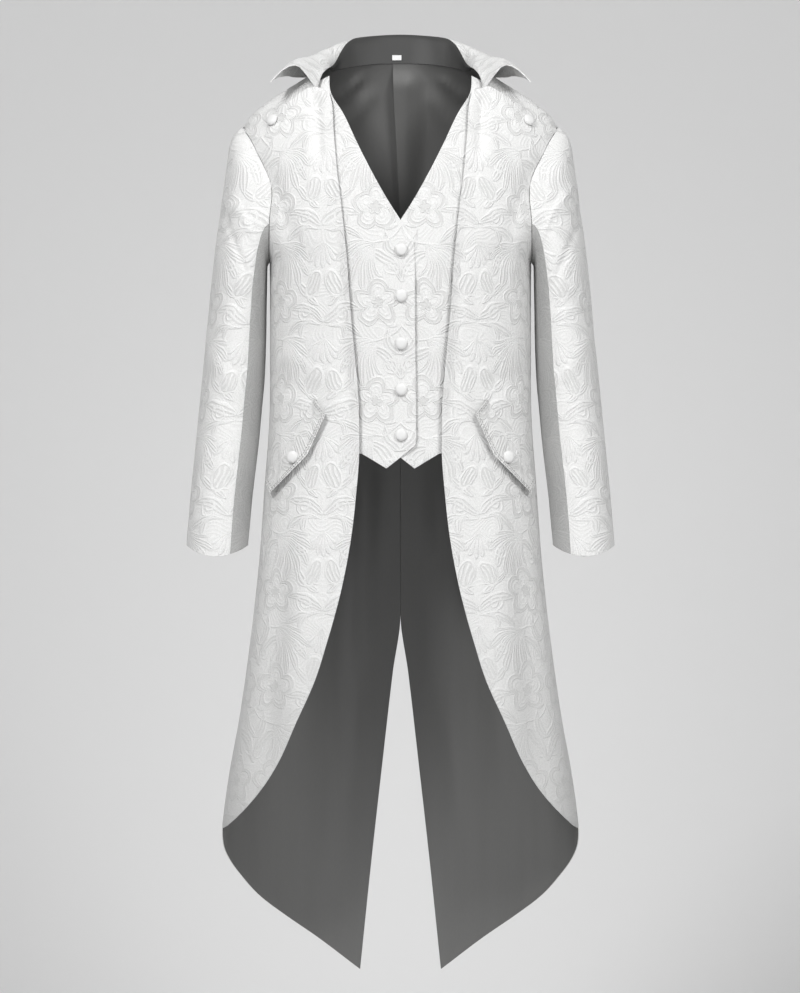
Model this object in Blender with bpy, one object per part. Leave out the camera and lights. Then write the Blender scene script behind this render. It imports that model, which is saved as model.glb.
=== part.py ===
"""Tailcoat of brocade with a sewn-in waistcoat front, in its worn, hollow shape.

Metres, +Z up, front towards -Y. The origin is between the neck points, at the height where the fronts begin.
Names with left and right are the wearer's, so left is +X.
"""
from collections import namedtuple
from math import pi, radians

import bmesh
import bpy
import numpy as np
from mathutils import Vector

# Cloth and seams
CLOTH = 0.0013           # brocade with its interlining
LINING = 0.0010
SEAM = 0.0003            # gap between pieces that are sewn together
LINING_LIFT = -0.0016    # the lining's outer face, inside the brocade
PLEAT_WIDTH = 0.0075
PLEAT_END = -0.420       # level where the lining's centre pleat is closed
PLEAT_OPENS = 0.300      # length over which it opens to its full width
PLEAT_LIFT = 0.0019      # how far its upper layer lies off the lower one
LINING_INSET = 0.0008    # how far the lining stays back from the vent, hem and side
BUTTON_SIZE = 0.0170
BUTTON_HEIGHT = 0.0055

# The body's surface: straight below the chest line, a rounded roof above it
CHEST = -0.200           # height of the chest line
DOME = 0.250             # level of the shoulder ridge, measured from the chest line
UNDERARM = -0.035        # level of the lowest point of the armhole
SQUARENESS = 2.4         # of the round section, where 2 is an ellipse
ROOF = 0.75              # how fast the depth shrinks towards the shoulder ridge

# A level is a height below the chest line in metres, and above it runs on to DOME at the shoulder ridge
Section = namedtuple("Section", "level half_width front_depth back_depth")
SECTIONS = (
    Section(-1.060, 0.2500, 0.140, 0.150),
    Section(-0.870, 0.2510, 0.138, 0.147),
    Section(-0.832, 0.2500, 0.137, 0.146),
    Section(-0.752, 0.2400, 0.134, 0.144),
    Section(-0.675, 0.2260, 0.132, 0.142),
    Section(-0.563, 0.2100, 0.129, 0.138),
    Section(-0.450, 0.1975, 0.125, 0.130),
    Section(-0.345, 0.1900, 0.121, 0.118),
    Section(-0.255, 0.1835, 0.118, 0.106),
    Section(-0.200, 0.1825, 0.118, 0.104),
    Section(-0.100, 0.1825, 0.124, 0.112),
    Section(-0.035, 0.1830, 0.127, 0.118),
    Section(-0.025, 0.1875, 0.127, 0.119),
    Section(-0.010, 0.1950, 0.128, 0.120),
    Section(0.0083, 0.2020, 0.128, 0.120),
    Section(0.0415, 0.2060, 0.128, 0.120),
    Section(0.0810, 0.2120, 0.128, 0.120),
    Section(0.1140, 0.2220, 0.127, 0.120),
    Section(0.1780, 0.2300, 0.126, 0.126),
    Section(0.2500, 0.2350, 0.125, 0.128),
)

# Height of the shoulder ridge over each half width, and its imagined line across the neck
Ridge = namedtuple("Ridge", "x z")
RIDGE = (
    Ridge(0.0000, 0.0930), Ridge(0.0100, 0.0930), Ridge(0.0300, 0.0880), Ridge(0.0550, 0.0730),
    Ridge(0.0800, 0.0540), Ridge(0.1040, 0.0385),
    Ridge(0.1200, 0.0305), Ridge(0.1340, 0.0225), Ridge(0.1450, 0.0155), Ridge(0.1610, 0.0060),
    Ridge(0.1790, -0.0056), Ridge(0.1940, -0.0165), Ridge(0.2080, -0.0285), Ridge(0.2205, -0.0460),
)

# Outlines on that surface
Armhole = namedtuple("Armhole", "level x")
ARMHOLE = (
    Armhole(-0.0350, 0.1830), Armhole(-0.0250, 0.1825), Armhole(-0.0100, 0.1815), Armhole(0.0083, 0.1805),
    Armhole(0.0415, 0.1790), Armhole(0.0610, 0.1810), Armhole(0.0810, 0.1875), Armhole(0.1140, 0.2000),
    Armhole(0.1780, 0.2155), Armhole(0.2500, 0.2205),
)
FrontEdge = namedtuple("FrontEdge", "z x")
FRONT_EDGE = (
    FrontEdge(-1.0265, 0.2500), FrontEdge(-1.0200, 0.2420), FrontEdge(-0.9800, 0.2035),
    FrontEdge(-0.9290, 0.1695), FrontEdge(-0.8740, 0.1430), FrontEdge(-0.8170, 0.1180),
    FrontEdge(-0.7620, 0.1008), FrontEdge(-0.7210, 0.0891), FrontEdge(-0.6820, 0.0795),
    FrontEdge(-0.6230, 0.0685), FrontEdge(-0.5545, 0.0603), FrontEdge(-0.4980, 0.0562),
    FrontEdge(-0.4360, 0.0569), FrontEdge(-0.3740, 0.0617), FrontEdge(-0.3250, 0.0665),
    FrontEdge(-0.2830, 0.0699), FrontEdge(-0.2330, 0.0736), FrontEdge(-0.1530, 0.0823),
    FrontEdge(-0.1210, 0.0865), FrontEdge(-0.0640, 0.0915), FrontEdge(-0.0200, 0.0950),
    FrontEdge(-0.0030, 0.0995),
)
FrontTop = namedtuple("FrontTop", "x z")
FRONT_TOP = (
    FrontTop(0.0950, -0.0040), FrontTop(0.0995, -0.0030), FrontTop(0.1175, 0.0020), FrontTop(0.1226, 0.0010),
    FrontTop(0.1365, -0.0072), FrontTop(0.1553, -0.0205), FrontTop(0.1686, -0.0270),
    FrontTop(0.1928, -0.0375), FrontTop(0.2205, -0.0500),
)
FRONT_LEVEL = 0.200      # level where the front's top edge meets the armhole
BackNeck = namedtuple("BackNeck", "x z")
BACK_NECK = (
    BackNeck(0.0000, 0.0530), BackNeck(0.0300, 0.0525), BackNeck(0.0550, 0.0495), BackNeck(0.0780, 0.0445),
    BackNeck(0.0950, 0.0400), BackNeck(0.1040, 0.0385),
)
NECK_POINT = 0.104       # half width of the neck opening at the shoulder ridge
NECK_LEVEL = 0.210       # level whose width sets out the columns under the neck
TIP_SHARE = 0.85         # from here on a front's top rows reach the armhole's own level
BEND = -0.10             # above this level the rows bend towards the neck and shoulder
Vent = namedtuple("Vent", "level x")
VENT = (
    Vent(-1.0420, 0.0580), Vent(-0.8880, 0.0420), Vent(-0.7500, 0.0265), Vent(-0.6130, 0.0107),
    Vent(-0.5318, 0.0000), Vent(-0.3000, 0.0000),
)
TAIL_TIP = -1.040
TAIL_ROUND = -0.750      # the rows below this level follow the hem
VENT_TOP = -0.5318
FRONT_LOW = -0.8262      # levels of the front's lowest point, and where its outline and its skirt begin
FRONT_HEM = -0.800
FRONT_SKIRT = -0.560
# The tails' hem from the vent to the side seam, by the share of the way round
Hem = namedtuple("Hem", "share level")
HEM = (
    Hem(0.000, -1.0400), Hem(0.207, -0.9930), Hem(0.382, -0.9590), Hem(0.547, -0.9280),
    Hem(0.684, -0.8985), Hem(0.830, -0.8700), Hem(0.930, -0.8495), Hem(1.000, -0.8290),
)

# Waistcoat, on its own side: its edge from the hem's corner up the front and the V to the shoulder
VestEdge = namedtuple("VestEdge", "z x")
VEST_EDGE = (
    VestEdge(-0.5300, -0.0205), VestEdge(-0.4920, -0.0205), VestEdge(-0.4800, -0.0215),
    VestEdge(-0.3260, -0.0200), VestEdge(-0.2180, -0.0193), VestEdge(-0.2030, -0.0130),
    VestEdge(-0.1827, 0.0000), VestEdge(-0.1550, 0.0177), VestEdge(-0.1180, 0.0384),
    VestEdge(-0.0755, 0.0600), VestEdge(-0.0350, 0.0788), VestEdge(-0.0019, 0.0980),
    VestEdge(0.0250, 0.1020), VestEdge(0.0320, 0.1022),
)
VestHem = namedtuple("VestHem", "share z")
VEST_HEM = (
    VestHem(0.000, -0.4920), VestHem(0.160, -0.5076), VestHem(0.325, -0.5236), VestHem(0.470, -0.5130),
    VestHem(0.610, -0.5032), VestHem(0.800, -0.5015), VestHem(1.000, -0.5000),
)
VEST_LOW = 0.12          # share of the rows that slant with the hem
VEST_STRAIGHT = -0.255   # level of the first straight row
VEST_TOP = 0.200
VEST_LIFT = -0.0043      # outer face of the waistcoat, inside the coat's surface
VEST_SEWN = -0.0022      # the same at its hidden edge, on the coat's front
VEST_NECK = -0.0068      # the same near the neck, behind the yoke and the collar
VEST_OVER = -0.0021      # outer face of the waistcoat front that lies on the other one
VEST_HIDDEN = 0.045      # width of the waistcoat under the coat's front
VEST_ARMHOLE = 0.012     # the least distance from its hidden edge to the armhole
VEST_LAPS = (0.024, 0.046)   # between these half widths the upper front comes down beside the lower one
VEST_BUTTONS = (-0.2235, -0.2865, -0.3520, -0.4150, -0.4775)

# Yoke, whose front edge lies under the coat's front
YOKE_CORNER = 0.1165     # half width where its hidden edge begins
SHOULDER_TIP = 0.2205    # half width of the shoulder ridge at the armhole
YOKE_UNDER = 0.018       # share of level that is hidden
YOKE_SEEN = 0.78         # share of the yoke's rows that shows
YOKE_LIFT = -0.0021

# Sleeve rings from the armhole to the cuff: outermost and innermost point, and half the depth
Ring = namedtuple("Ring", "outer_x outer_z inner_x inner_z half_depth forward armhole_share")
RINGS = (
    Ring(0.2205, -0.0460, 0.1830, -0.2350, 0.0700, 0.000, 1.00),
    Ring(0.2320, -0.0560, 0.1858, -0.2400, 0.0715, 0.000, 0.88),
    Ring(0.2387, -0.0710, 0.1862, -0.2470, 0.0730, 0.000, 0.70),
    Ring(0.2420, -0.0930, 0.1864, -0.2550, 0.0735, 0.000, 0.50),
    Ring(0.2457, -0.1180, 0.1866, -0.2650, 0.0735, 0.000, 0.32),
    Ring(0.2513, -0.1620, 0.1870, -0.2850, 0.0725, 0.000, 0.15),
    Ring(0.2576, -0.2030, 0.1875, -0.3080, 0.0705, 0.001, 0.04),
    Ring(0.2646, -0.2620, 0.1880, -0.3400, 0.0685, 0.003, 0.00),
    Ring(0.2720, -0.3400, 0.1900, -0.3950, 0.0655, 0.004, 0.00),
    Ring(0.2780, -0.4000, 0.1940, -0.4400, 0.0630, 0.003, 0.00),
    Ring(0.2840, -0.4630, 0.1985, -0.4900, 0.0605, -0.001, 0.00),
    Ring(0.2926, -0.5540, 0.2070, -0.5650, 0.0565, -0.011, 0.00),
    Ring(0.2965, -0.6050, 0.2105, -0.6090, 0.0540, -0.018, 0.00),
    Ring(0.2985, -0.6400, 0.2125, -0.6400, 0.0520, -0.023, 0.00),
)
SLEEVE_FRONT_SEAM = 0.0125   # levels where the sleeve's seams meet the armhole
SLEEVE_BACK_SEAM = 0.0290
SLEEVE_CLEAR = 0.0005    # gap of the sleeve's head to the armhole's edge, and what the shoulder tip adds to it
SLEEVE_CLEAR_TIP = 0.0006
UNDERARM_ROWS = (-0.0350, -0.0300, -0.0150)
SEAM_TURN = radians(0.16)

# Collar stations from the centre back to the front edge: a line over the collar from its seam to its free edge
Station = namedtuple("Station", "seam roll rise crest fall edge facing_share")
STATIONS = (
    Station(0.00, (0.0000, 0.0810, 0.0830), (0.0000, 0.0840, 0.0900), (0.0000, 0.0885, 0.0925),
            (0.0000, 0.0935, 0.0840), (0.0000, 0.0955, 0.0430), 0.58),
    Station(0.28, (0.0295, 0.0790, 0.0815), (0.0298, 0.0820, 0.0885), (0.0310, 0.0865, 0.0910),
            (0.0325, 0.0915, 0.0825), (0.0340, 0.0940, 0.0415), 0.58),
    Station(0.52, (0.0535, 0.0695, 0.0780), (0.0545, 0.0735, 0.0850), (0.0570, 0.0785, 0.0875),
            (0.0600, 0.0840, 0.0785), (0.0630, 0.0880, 0.0385), 0.56),
    Station(0.75, (0.0765, 0.0530, 0.0640), (0.0765, 0.0570, 0.0765), (0.0805, 0.0625, 0.0815),
            (0.0870, 0.0690, 0.0720), (0.0920, 0.0755, 0.0345), 0.42),
    Station(0.90, (0.0915, 0.0310, 0.0475), (0.0935, 0.0380, 0.0625), (0.1005, 0.0430, 0.0705),
            (0.1090, 0.0470, 0.0640), (0.1185, 0.0525, 0.0300), 0.24),
    Station(1.00, (0.0975, 0.0000, 0.0400), (0.1045, 0.0080, 0.0530), (0.1180, 0.0120, 0.0585),
            (0.1310, 0.0145, 0.0520), (0.1435, 0.0170, 0.0265), 0.20),
    Station(1.28, (0.1035, -0.0290, 0.0330), (0.1140, -0.0220, 0.0420), (0.1320, -0.0180, 0.0510),
            (0.1480, -0.0195, 0.0455), (0.1580, -0.0220, 0.0245), 0.20),
    Station(1.50, (0.1095, -0.0490, 0.0250), (0.1215, -0.0420, 0.0360), (0.1405, -0.0470, 0.0455),
            (0.1570, -0.0500, 0.0385), (0.1710, -0.0540, 0.0195), 0.20),
    Station(1.70, (0.1180, -0.0715, 0.0055), (0.1362, -0.0760, 0.0301), (0.1494, -0.0790, 0.0346),
            (0.1655, -0.0830, 0.0258), (0.1801, -0.0860, 0.0103), 0.20),
)

# Pocket flap: its sewn edge and its free edge, from the upper end to the lower one
FlapLine = namedtuple("FlapLine", "share sewn_x sewn_z free_x free_z")
FLAP = (
    FlapLine(0.00, 0.1178, -0.4266, 0.0998, -0.4491),
    FlapLine(0.45, 0.1475, -0.4780, 0.1245, -0.5055),
    FlapLine(1.00, 0.1835, -0.5385, 0.1735, -0.5580),
)
FLAP_LIFT = 0.0016
FLAP_CLOTH = 0.0012
FLAP_BUTTON = (0.1437, -0.5080)
SHOULDER_BUTTON = (0.1771, -0.0410)

LABEL_SIZE = (0.0130, 0.0010, 0.0075)
LABEL_STATION = -0.050   # both say where it lies on the collar
LABEL_ROW = 0.030
FACING_ROW = 0.5         # share of the collar's rows that the facing covers
FACING_LIFT = SEAM + LINING + 0.0001
SEAM_RISE = (0.80, 1.40)     # lift of the collar off its seam, in walls of cloth, behind and in front

COLOURS = {
    "brocade": ((0.86, 0.86, 0.855), 0.55),
    "lining": ((0.085, 0.085, 0.083), 0.45),
    "button": ((0.88, 0.88, 0.875), 0.40),
    "label": ((0.90, 0.90, 0.90), 0.60),
}


def smooth_line(x, y, samples=600):
    """A function through the points (x, y) that is smooth and never overshoots them."""
    x = np.asarray(x, float)
    y = np.asarray(y, float)
    step = np.diff(x)
    slope = np.diff(y) / step
    tangent = np.concatenate(([slope[0]], (slope[1:] + slope[:-1]) / 2, [slope[-1]]))
    turning = slope[1:] * slope[:-1] <= 0
    tangent[1:-1][turning] = 0
    limit = 3 * np.minimum(np.abs(np.append(slope, slope[-1])), np.abs(np.insert(slope, 0, slope[0])))
    tangent = np.clip(tangent, -limit, limit)
    at = np.union1d(np.linspace(x[0], x[-1], samples), x)
    i = np.clip(np.searchsorted(x, at, side="right") - 1, 0, len(step) - 1)
    t = (at - x[i]) / step[i]
    value = (y[i] * (1 + 2 * t) * (1 - t) ** 2 + step[i] * tangent[i] * t * (1 - t) ** 2
             + y[i + 1] * t * t * (3 - 2 * t) + step[i] * tangent[i + 1] * t * t * (t - 1))
    return lambda wanted: np.interp(wanted, at, value)


def table_line(rows, given, wanted):
    """The smooth line of one named column of a table over another."""
    return smooth_line([getattr(row, given) for row in rows], [getattr(row, wanted) for row in rows])


half_width = table_line(SECTIONS, "level", "half_width")
depth_line = {-1: table_line(SECTIONS, "level", "front_depth"), 1: table_line(SECTIONS, "level", "back_depth")}
ridge_height = table_line(RIDGE, "x", "z")
armhole_x = table_line(ARMHOLE, "level", "x")
front_edge_x = table_line(FRONT_EDGE, "z", "x")
front_top_z = table_line(FRONT_TOP, "x", "z")
back_neck_z = table_line(BACK_NECK, "x", "z")
vent_x = table_line(VENT, "level", "x")
hem_level = table_line(HEM, "share", "level")


def body_place(angle, level, face):
    """Point of the coat's outer surface. angle runs from 0 at the middle to a quarter turn at the side, face is
    -1 in front and 1 behind."""
    climb = np.clip(level / DOME, 0, None) * pi / 2
    x = half_width(level) * np.sin(angle)
    roof = ridge_height(np.abs(x)) - CHEST
    z = CHEST + np.where(level < 0, level, roof * np.sin(climb))
    across = np.minimum(np.abs(np.sin(angle)), 1)
    around = np.sign(np.cos(angle)) * (1 - across ** SQUARENESS) ** (1 / SQUARENESS)
    over = np.sign(np.cos(climb)) * np.abs(np.cos(climb)) ** ROOF
    y = face * depth_line[face](level) * around * over
    return np.stack([x, y, z], axis=-1)


def body(angle, level, face, side, lift=0.0):
    """Point of the surface moved out by lift, on the wearer's left (side 1) or right (side -1)."""
    angle, level, lift = np.broadcast_arrays(angle, level, lift)
    near = 1e-4
    place = body_place(angle, level, face)
    around = body_place(angle + near, level, face) - body_place(angle - near, level, face)
    upward = body_place(angle, level + near, face) - body_place(angle, level - near, face)
    normal = np.cross(around, upward)
    normal /= np.linalg.norm(normal, axis=-1, keepdims=True)
    middle = np.stack([0 * angle, 0 * angle, np.minimum(place[..., 2], CHEST)], axis=-1)
    outward = np.sign(np.sum(normal * (place - middle), axis=-1, keepdims=True))
    place = place + normal * outward * lift[..., None]
    place[..., 1] += face * SEAM / 2
    place[..., 0] *= side
    return place


def level_at(x, z):
    """Level of the point of the surface that is seen at x, z from the front."""
    share = np.clip((z - CHEST) / (ridge_height(np.abs(x)) - CHEST), 0, 1)
    return np.where(z < CHEST, z - CHEST, DOME * np.arcsin(share) * 2 / pi)


def angle_at(x, level):
    return np.arcsin(np.clip(x / half_width(level), -1, 1))


def seen(x, z, side, face=-1, lift=0.0):
    """Point of the surface that is seen at x, z from the front or the back."""
    level = level_at(x, z)
    return body(angle_at(x, level), level, face, side, lift)


def mix(a, b, share):
    return a + (b - a) * share


def ease(value):
    value = np.clip(value, 0, 1)
    return value * value * (3 - 2 * value)


def bands(*parts):
    """Levels from below upwards: each part is a lowest level, a highest level and its number of rows."""
    levels = [np.linspace(low, high, rows, endpoint=False) for low, high, rows in parts]
    return np.append(np.concatenate(levels), parts[-1][1])


def outer_angle(level):
    """Angle of the panel's outer border: the side seam, then the armhole."""
    return np.where(level <= UNDERARM, pi / 2, angle_at(armhole_x(level), level))


def rise_to(top, level, highest):
    """Level of a row in a column that ends at top, where the armhole's own row is at level."""
    return np.where(level < BEND, level, BEND + (top - BEND) * (level - BEND) / (highest - BEND))


# Panels: each function returns one that places the points of a panel, lifted off its own surface

def front_panel(side):
    corner_x = front_edge_x(0.0)
    corner = level_at(corner_x, front_top_z(corner_x))
    corner_angle = angle_at(corner_x, corner)
    shoulder_angle = outer_angle(FRONT_LEVEL)

    def place(u, level, lift):
        top_x = half_width(FRONT_LEVEL) * np.sin(mix(corner_angle, shoulder_angle, u))
        top = mix(level_at(top_x, front_top_z(top_x)), FRONT_LEVEL, ease((u - TIP_SHARE) / (1 - TIP_SHARE)))
        edge_level = rise_to(corner, level, FRONT_LEVEL)
        edge_z = body_place(corner_angle, edge_level, -1)[..., 2]
        inner = angle_at(front_edge_x(edge_z), edge_level)
        row = rise_to(top, level, FRONT_LEVEL)
        return body(mix(inner, outer_angle(level), u), row, -1, side, lift)

    return place


def back_panel(side, base=0.0, inset=0.0, pleat=False):
    """The back down to the tail's hem. A pleat moves the first column across the middle."""
    shoulder_angle = outer_angle(DOME)

    def place(u, level, lift):
        top_x = half_width(NECK_LEVEL) * np.sin(u * shoulder_angle)
        top = np.where(top_x < NECK_POINT - 1e-4, level_at(top_x, back_neck_z(top_x)), DOME)
        low = mix(TAIL_ROUND, hem_level(u) + inset, (TAIL_ROUND - level) / (TAIL_ROUND - TAIL_TIP))
        row = np.where(level < TAIL_ROUND, low, rise_to(top, level, DOME))
        inner = angle_at(vent_x(row) + inset + SEAM / 2, row)
        border = outer_angle(level) - 2 * inset / half_width(level) * ease((level - UNDERARM + 0.01) / 0.02)
        angle = mix(inner, border, u)
        raised = base + lift
        if pleat:
            open_share = ease((row - PLEAT_END) / PLEAT_OPENS)
            over = (SEAM / 2 - PLEAT_WIDTH * open_share) / half_width(row)
            angle = np.where((u < 0.001) & (row > PLEAT_END), over, angle)
            first_columns = u < 0.03
            raised = raised - PLEAT_LIFT * ease((row - PLEAT_END + 0.08) / 0.08) * first_columns
        return body(angle, row, 1, side, raised)

    return place


def yoke_place(u, share, side, lift):
    """Share runs from the shoulder ridge to the hidden edge, and YOKE_SEEN of it shows."""
    line_x = mix(YOKE_CORNER, half_width(FRONT_LEVEL) * np.sin(outer_angle(FRONT_LEVEL)), u)
    line = level_at(line_x, front_top_z(line_x))
    hidden = line - YOKE_UNDER
    x = mix(mix(NECK_POINT, SHOULDER_TIP, u), line_x, share / YOKE_SEEN)
    level = np.where(share < YOKE_SEEN, mix(DOME, line, share / YOKE_SEEN),
                     mix(line, hidden, (share - YOKE_SEEN) / (1 - YOKE_SEEN)))
    angle = mix(angle_at(x, level), outer_angle(level), ease((u - 0.8) / 0.2))
    return body(angle, level, -1, side, lift + YOKE_LIFT * ease(share / (YOKE_SEEN - 0.1)))


def yoke_panel(side):
    return lambda u, share, lift: yoke_place(u, share, side, lift)


def vest_panel(side, over):
    """Waistcoat front. over is True for the front that lies on the other one."""
    hem_shares = [row.share for row in VEST_HEM]
    hem_heights = [row.z for row in VEST_HEM]
    edge_levels = level_at(np.array([row.x for row in VEST_EDGE]), np.array([row.z for row in VEST_EDGE]))
    edge_x = smooth_line(edge_levels, [row.x for row in VEST_EDGE])
    coat_levels = level_at(np.array([row.x for row in FRONT_EDGE]), np.array([row.z for row in FRONT_EDGE]))
    coat_x = smooth_line(coat_levels, [row.x for row in FRONT_EDGE])

    def place(u, share, lift):
        low = mix(np.interp(u, hem_shares, hem_heights) - CHEST, VEST_STRAIGHT, share / VEST_LOW)
        high = mix(VEST_STRAIGHT, VEST_TOP, (share - VEST_LOW) / (1 - VEST_LOW))
        level = np.where(share < VEST_LOW, low, high)
        armhole = np.where(level > UNDERARM, armhole_x(level), half_width(level))
        x = mix(edge_x(level), np.minimum(coat_x(level) + VEST_HIDDEN, armhole - VEST_ARMHOLE), u)
        sewn = ease((u - 0.6) / 0.4) * (1 - ease((level + 0.10) / 0.06))
        base = mix(VEST_LIFT, VEST_NECK, ease((level - 0.05) / 0.10))
        base = mix(base, VEST_SEWN, sewn)
        if over:
            base = mix(VEST_OVER, base, ease((x - VEST_LAPS[0]) / (VEST_LAPS[1] - VEST_LAPS[0])))
        return body(angle_at(x, level), level, -1, side, base + lift)

    return place


def flap_panel(side):
    def place(u, share, lift):
        shares = [row.share for row in FLAP]
        sewn_x, sewn_z, free_x, free_z = (np.interp(u, shares, [getattr(row, name) for row in FLAP])
                                          for name in ("sewn_x", "sewn_z", "free_x", "free_z"))
        x = mix(sewn_x, free_x, share)
        z = mix(sewn_z, free_z, share)
        return seen(x, z, side, -1, FLAP_LIFT + lift)

    return place


# Sleeves

def armhole_height(level):
    return body_place(outer_angle(level), level, -1)[..., 2]


def armhole_turn(level):
    """Turn round the armhole from the shoulder tip down to a level on it."""
    share = (armhole_height(level) - RINGS[0].inner_z) / (RINGS[0].outer_z - RINGS[0].inner_z)
    return np.arccos(np.clip(2 * share - 1, -1, 1))


def armhole_place(turn, side):
    """Point of the armhole for a turn round it from the shoulder tip, down the front and then up the back."""
    levels = np.linspace(UNDERARM, DOME, 4001)
    wanted = mix(RINGS[0].inner_z, RINGS[0].outer_z, (1 + np.cos(turn)) / 2)
    level = np.interp(wanted, armhole_height(levels), levels)
    front = body(outer_angle(level), level, -1, side)
    back = body(outer_angle(level), level, 1, side)
    place = np.where((np.sin(turn) >= 0)[..., None], front, back)
    clear = SLEEVE_CLEAR + SLEEVE_CLEAR_TIP * np.maximum(np.cos(turn), 0) ** 8
    return place + clear[..., None] * np.array([side, 0.0, -0.3])


def plain_ring(turn, side, row):
    """Oval through a ring's outermost and innermost point."""
    share = (1 + np.cos(turn)) / 2
    x = mix(row["inner_x"], row["outer_x"], share) * side
    z = mix(row["inner_z"], row["outer_z"], share)
    return np.stack([x, row["forward"] - row["half_depth"] * np.sin(turn), z], axis=-1)


SLEEVE_LINES = {name: smooth_line(np.linspace(0, 1, len(RINGS)), [getattr(ring, name) for ring in RINGS])
                for name in Ring._fields}


def sleeve_place(turn, along, side):
    """Point of the sleeve: the armhole's shape at first, which fades into plain ovals further down."""
    row = {name: line(along) for name, line in SLEEVE_LINES.items()}
    ring = plain_ring(turn, side, row)
    departure = armhole_place(turn, side) - plain_ring(turn, side, RINGS[0]._asdict())
    return ring + departure * row["armhole_share"][..., None]


def sleeve_panel(side):
    def place(turn, along, lift):
        near = 1e-3
        later = np.minimum(along + near, 1)
        around = sleeve_place(turn + near, along, side) - sleeve_place(turn - near, along, side)
        down = sleeve_place(turn, later, side) - sleeve_place(turn, later - near, side)
        normal = np.cross(around, down) * side
        normal /= np.linalg.norm(normal, axis=-1, keepdims=True)
        return sleeve_place(turn, along, side) + normal * lift[..., None]

    return place


# Collar

def neck_place(share):
    """Neck seam on the left: 0 at the centre back, 1 at the shoulder ridge, 2 at the yoke's hidden end."""
    x = NECK_POINT * np.minimum(share, 1)
    level = np.where(share < 0.999, level_at(x, back_neck_z(x)), DOME)
    behind = body(angle_at(x, level), level, 1, 1, -CLOTH)
    ahead = yoke_place(0 * share, np.clip(share - 1, 0, 1), 1, -CLOTH)
    return np.where((share <= 1)[..., None], behind, ahead)


STATION_LINES = ("roll", "rise", "crest", "fall", "edge")


def station_line(name, axis):
    """Smooth line of one coordinate along the collar, from its front end on the right to that on the left."""
    mirror = -1 if axis == 0 else 1
    left = [(row.seam, getattr(row, name)[axis]) for row in STATIONS]
    right = [(-seam, mirror * value) for seam, value in reversed(left[1:])]
    return smooth_line(*zip(*(right + left)))


COLLAR_LINES = [[station_line(name, axis) for axis in range(3)] for name in STATION_LINES]
facing_share = smooth_line([row.seam for row in STATIONS], [row.facing_share for row in STATIONS])


def collar_surface(station, row):
    """Point of the collar's visible face. row runs from 0 at its seam through FACING_ROW, where the dark facing
    ends, to 1 at its free edge."""
    share = np.abs(station)
    ends = facing_share(share)
    outside = mix(ends, 1, (row - FACING_ROW) / (1 - FACING_ROW))
    across = np.where(row < FACING_ROW, ends * row / FACING_ROW, outside)
    seam = neck_place(share)
    seam[..., 2] += SEAM + CLOTH * mix(*SEAM_RISE, ease((share - 0.75) / 0.25))
    seam[..., 0] *= np.where(station < 0, -1, 1)
    points = [seam] + [np.stack([line(station) for line in axes], axis=-1) for axes in COLLAR_LINES]
    return spline(np.stack(points), across * len(STATION_LINES))


def spline(points, where):
    """Catmull-Rom curve through rows of points, each column at its own place."""
    i = np.clip(np.floor(where).astype(int), 0, len(points) - 2)
    t = (where - i)[..., None]
    padded = np.concatenate([[2 * points[0] - points[1]], points, [2 * points[-1] - points[-2]]])
    column = np.arange(len(where))
    a, b, c, d = (padded[i + k, column] for k in range(4))
    return b + t * ((c - a) + t * ((2 * a - 5 * b + 4 * c - d) + t * (3 * (b - c) + d - a))) / 2


def collar_place(station, row, lift):
    """Point lifted off the collar's visible face, towards the neck at the stand and upwards on the fall."""
    near = 1e-3
    end = STATIONS[-1].seam
    later = np.minimum(station + near, end)
    earlier = np.maximum(station - near, -end)
    row_high = np.where((row < FACING_ROW) | (row >= 1), row, row + near)
    along = collar_surface(later, row) - collar_surface(earlier, row)
    over = collar_surface(station, row_high) - collar_surface(station, np.maximum(row_high - near, 0))
    start = collar_surface(station, near + 0 * row) - collar_surface(station, 0 * row)
    over = np.where((row <= 0)[..., None], start, over)
    normal = np.cross(along, over)
    normal /= np.linalg.norm(normal, axis=-1, keepdims=True)
    return collar_surface(station, row) + normal * lift[..., None]


# Building

def material(name):
    made = bpy.data.materials.get(name)
    if made is None:
        colour, roughness = COLOURS[name]
        made = bpy.data.materials.new(name)
        made.use_nodes = True
        shader = made.node_tree.nodes["Principled BSDF"]
        shader.inputs["Base Color"].default_value = (*colour, 1)
        shader.inputs["Roughness"].default_value = roughness
        shader.inputs["Metallic"].default_value = 0
    return made


def add_object(name, bm, finish, collection):
    mesh = bpy.data.meshes.new(name)
    bm.to_mesh(mesh)
    bm.free()
    mesh.shade_smooth()
    mesh.set_sharp_from_angle(angle=radians(50))
    mesh.materials.append(material(finish))
    made = bpy.data.objects.new(name, mesh)
    collection.objects.link(made)
    return made


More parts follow.
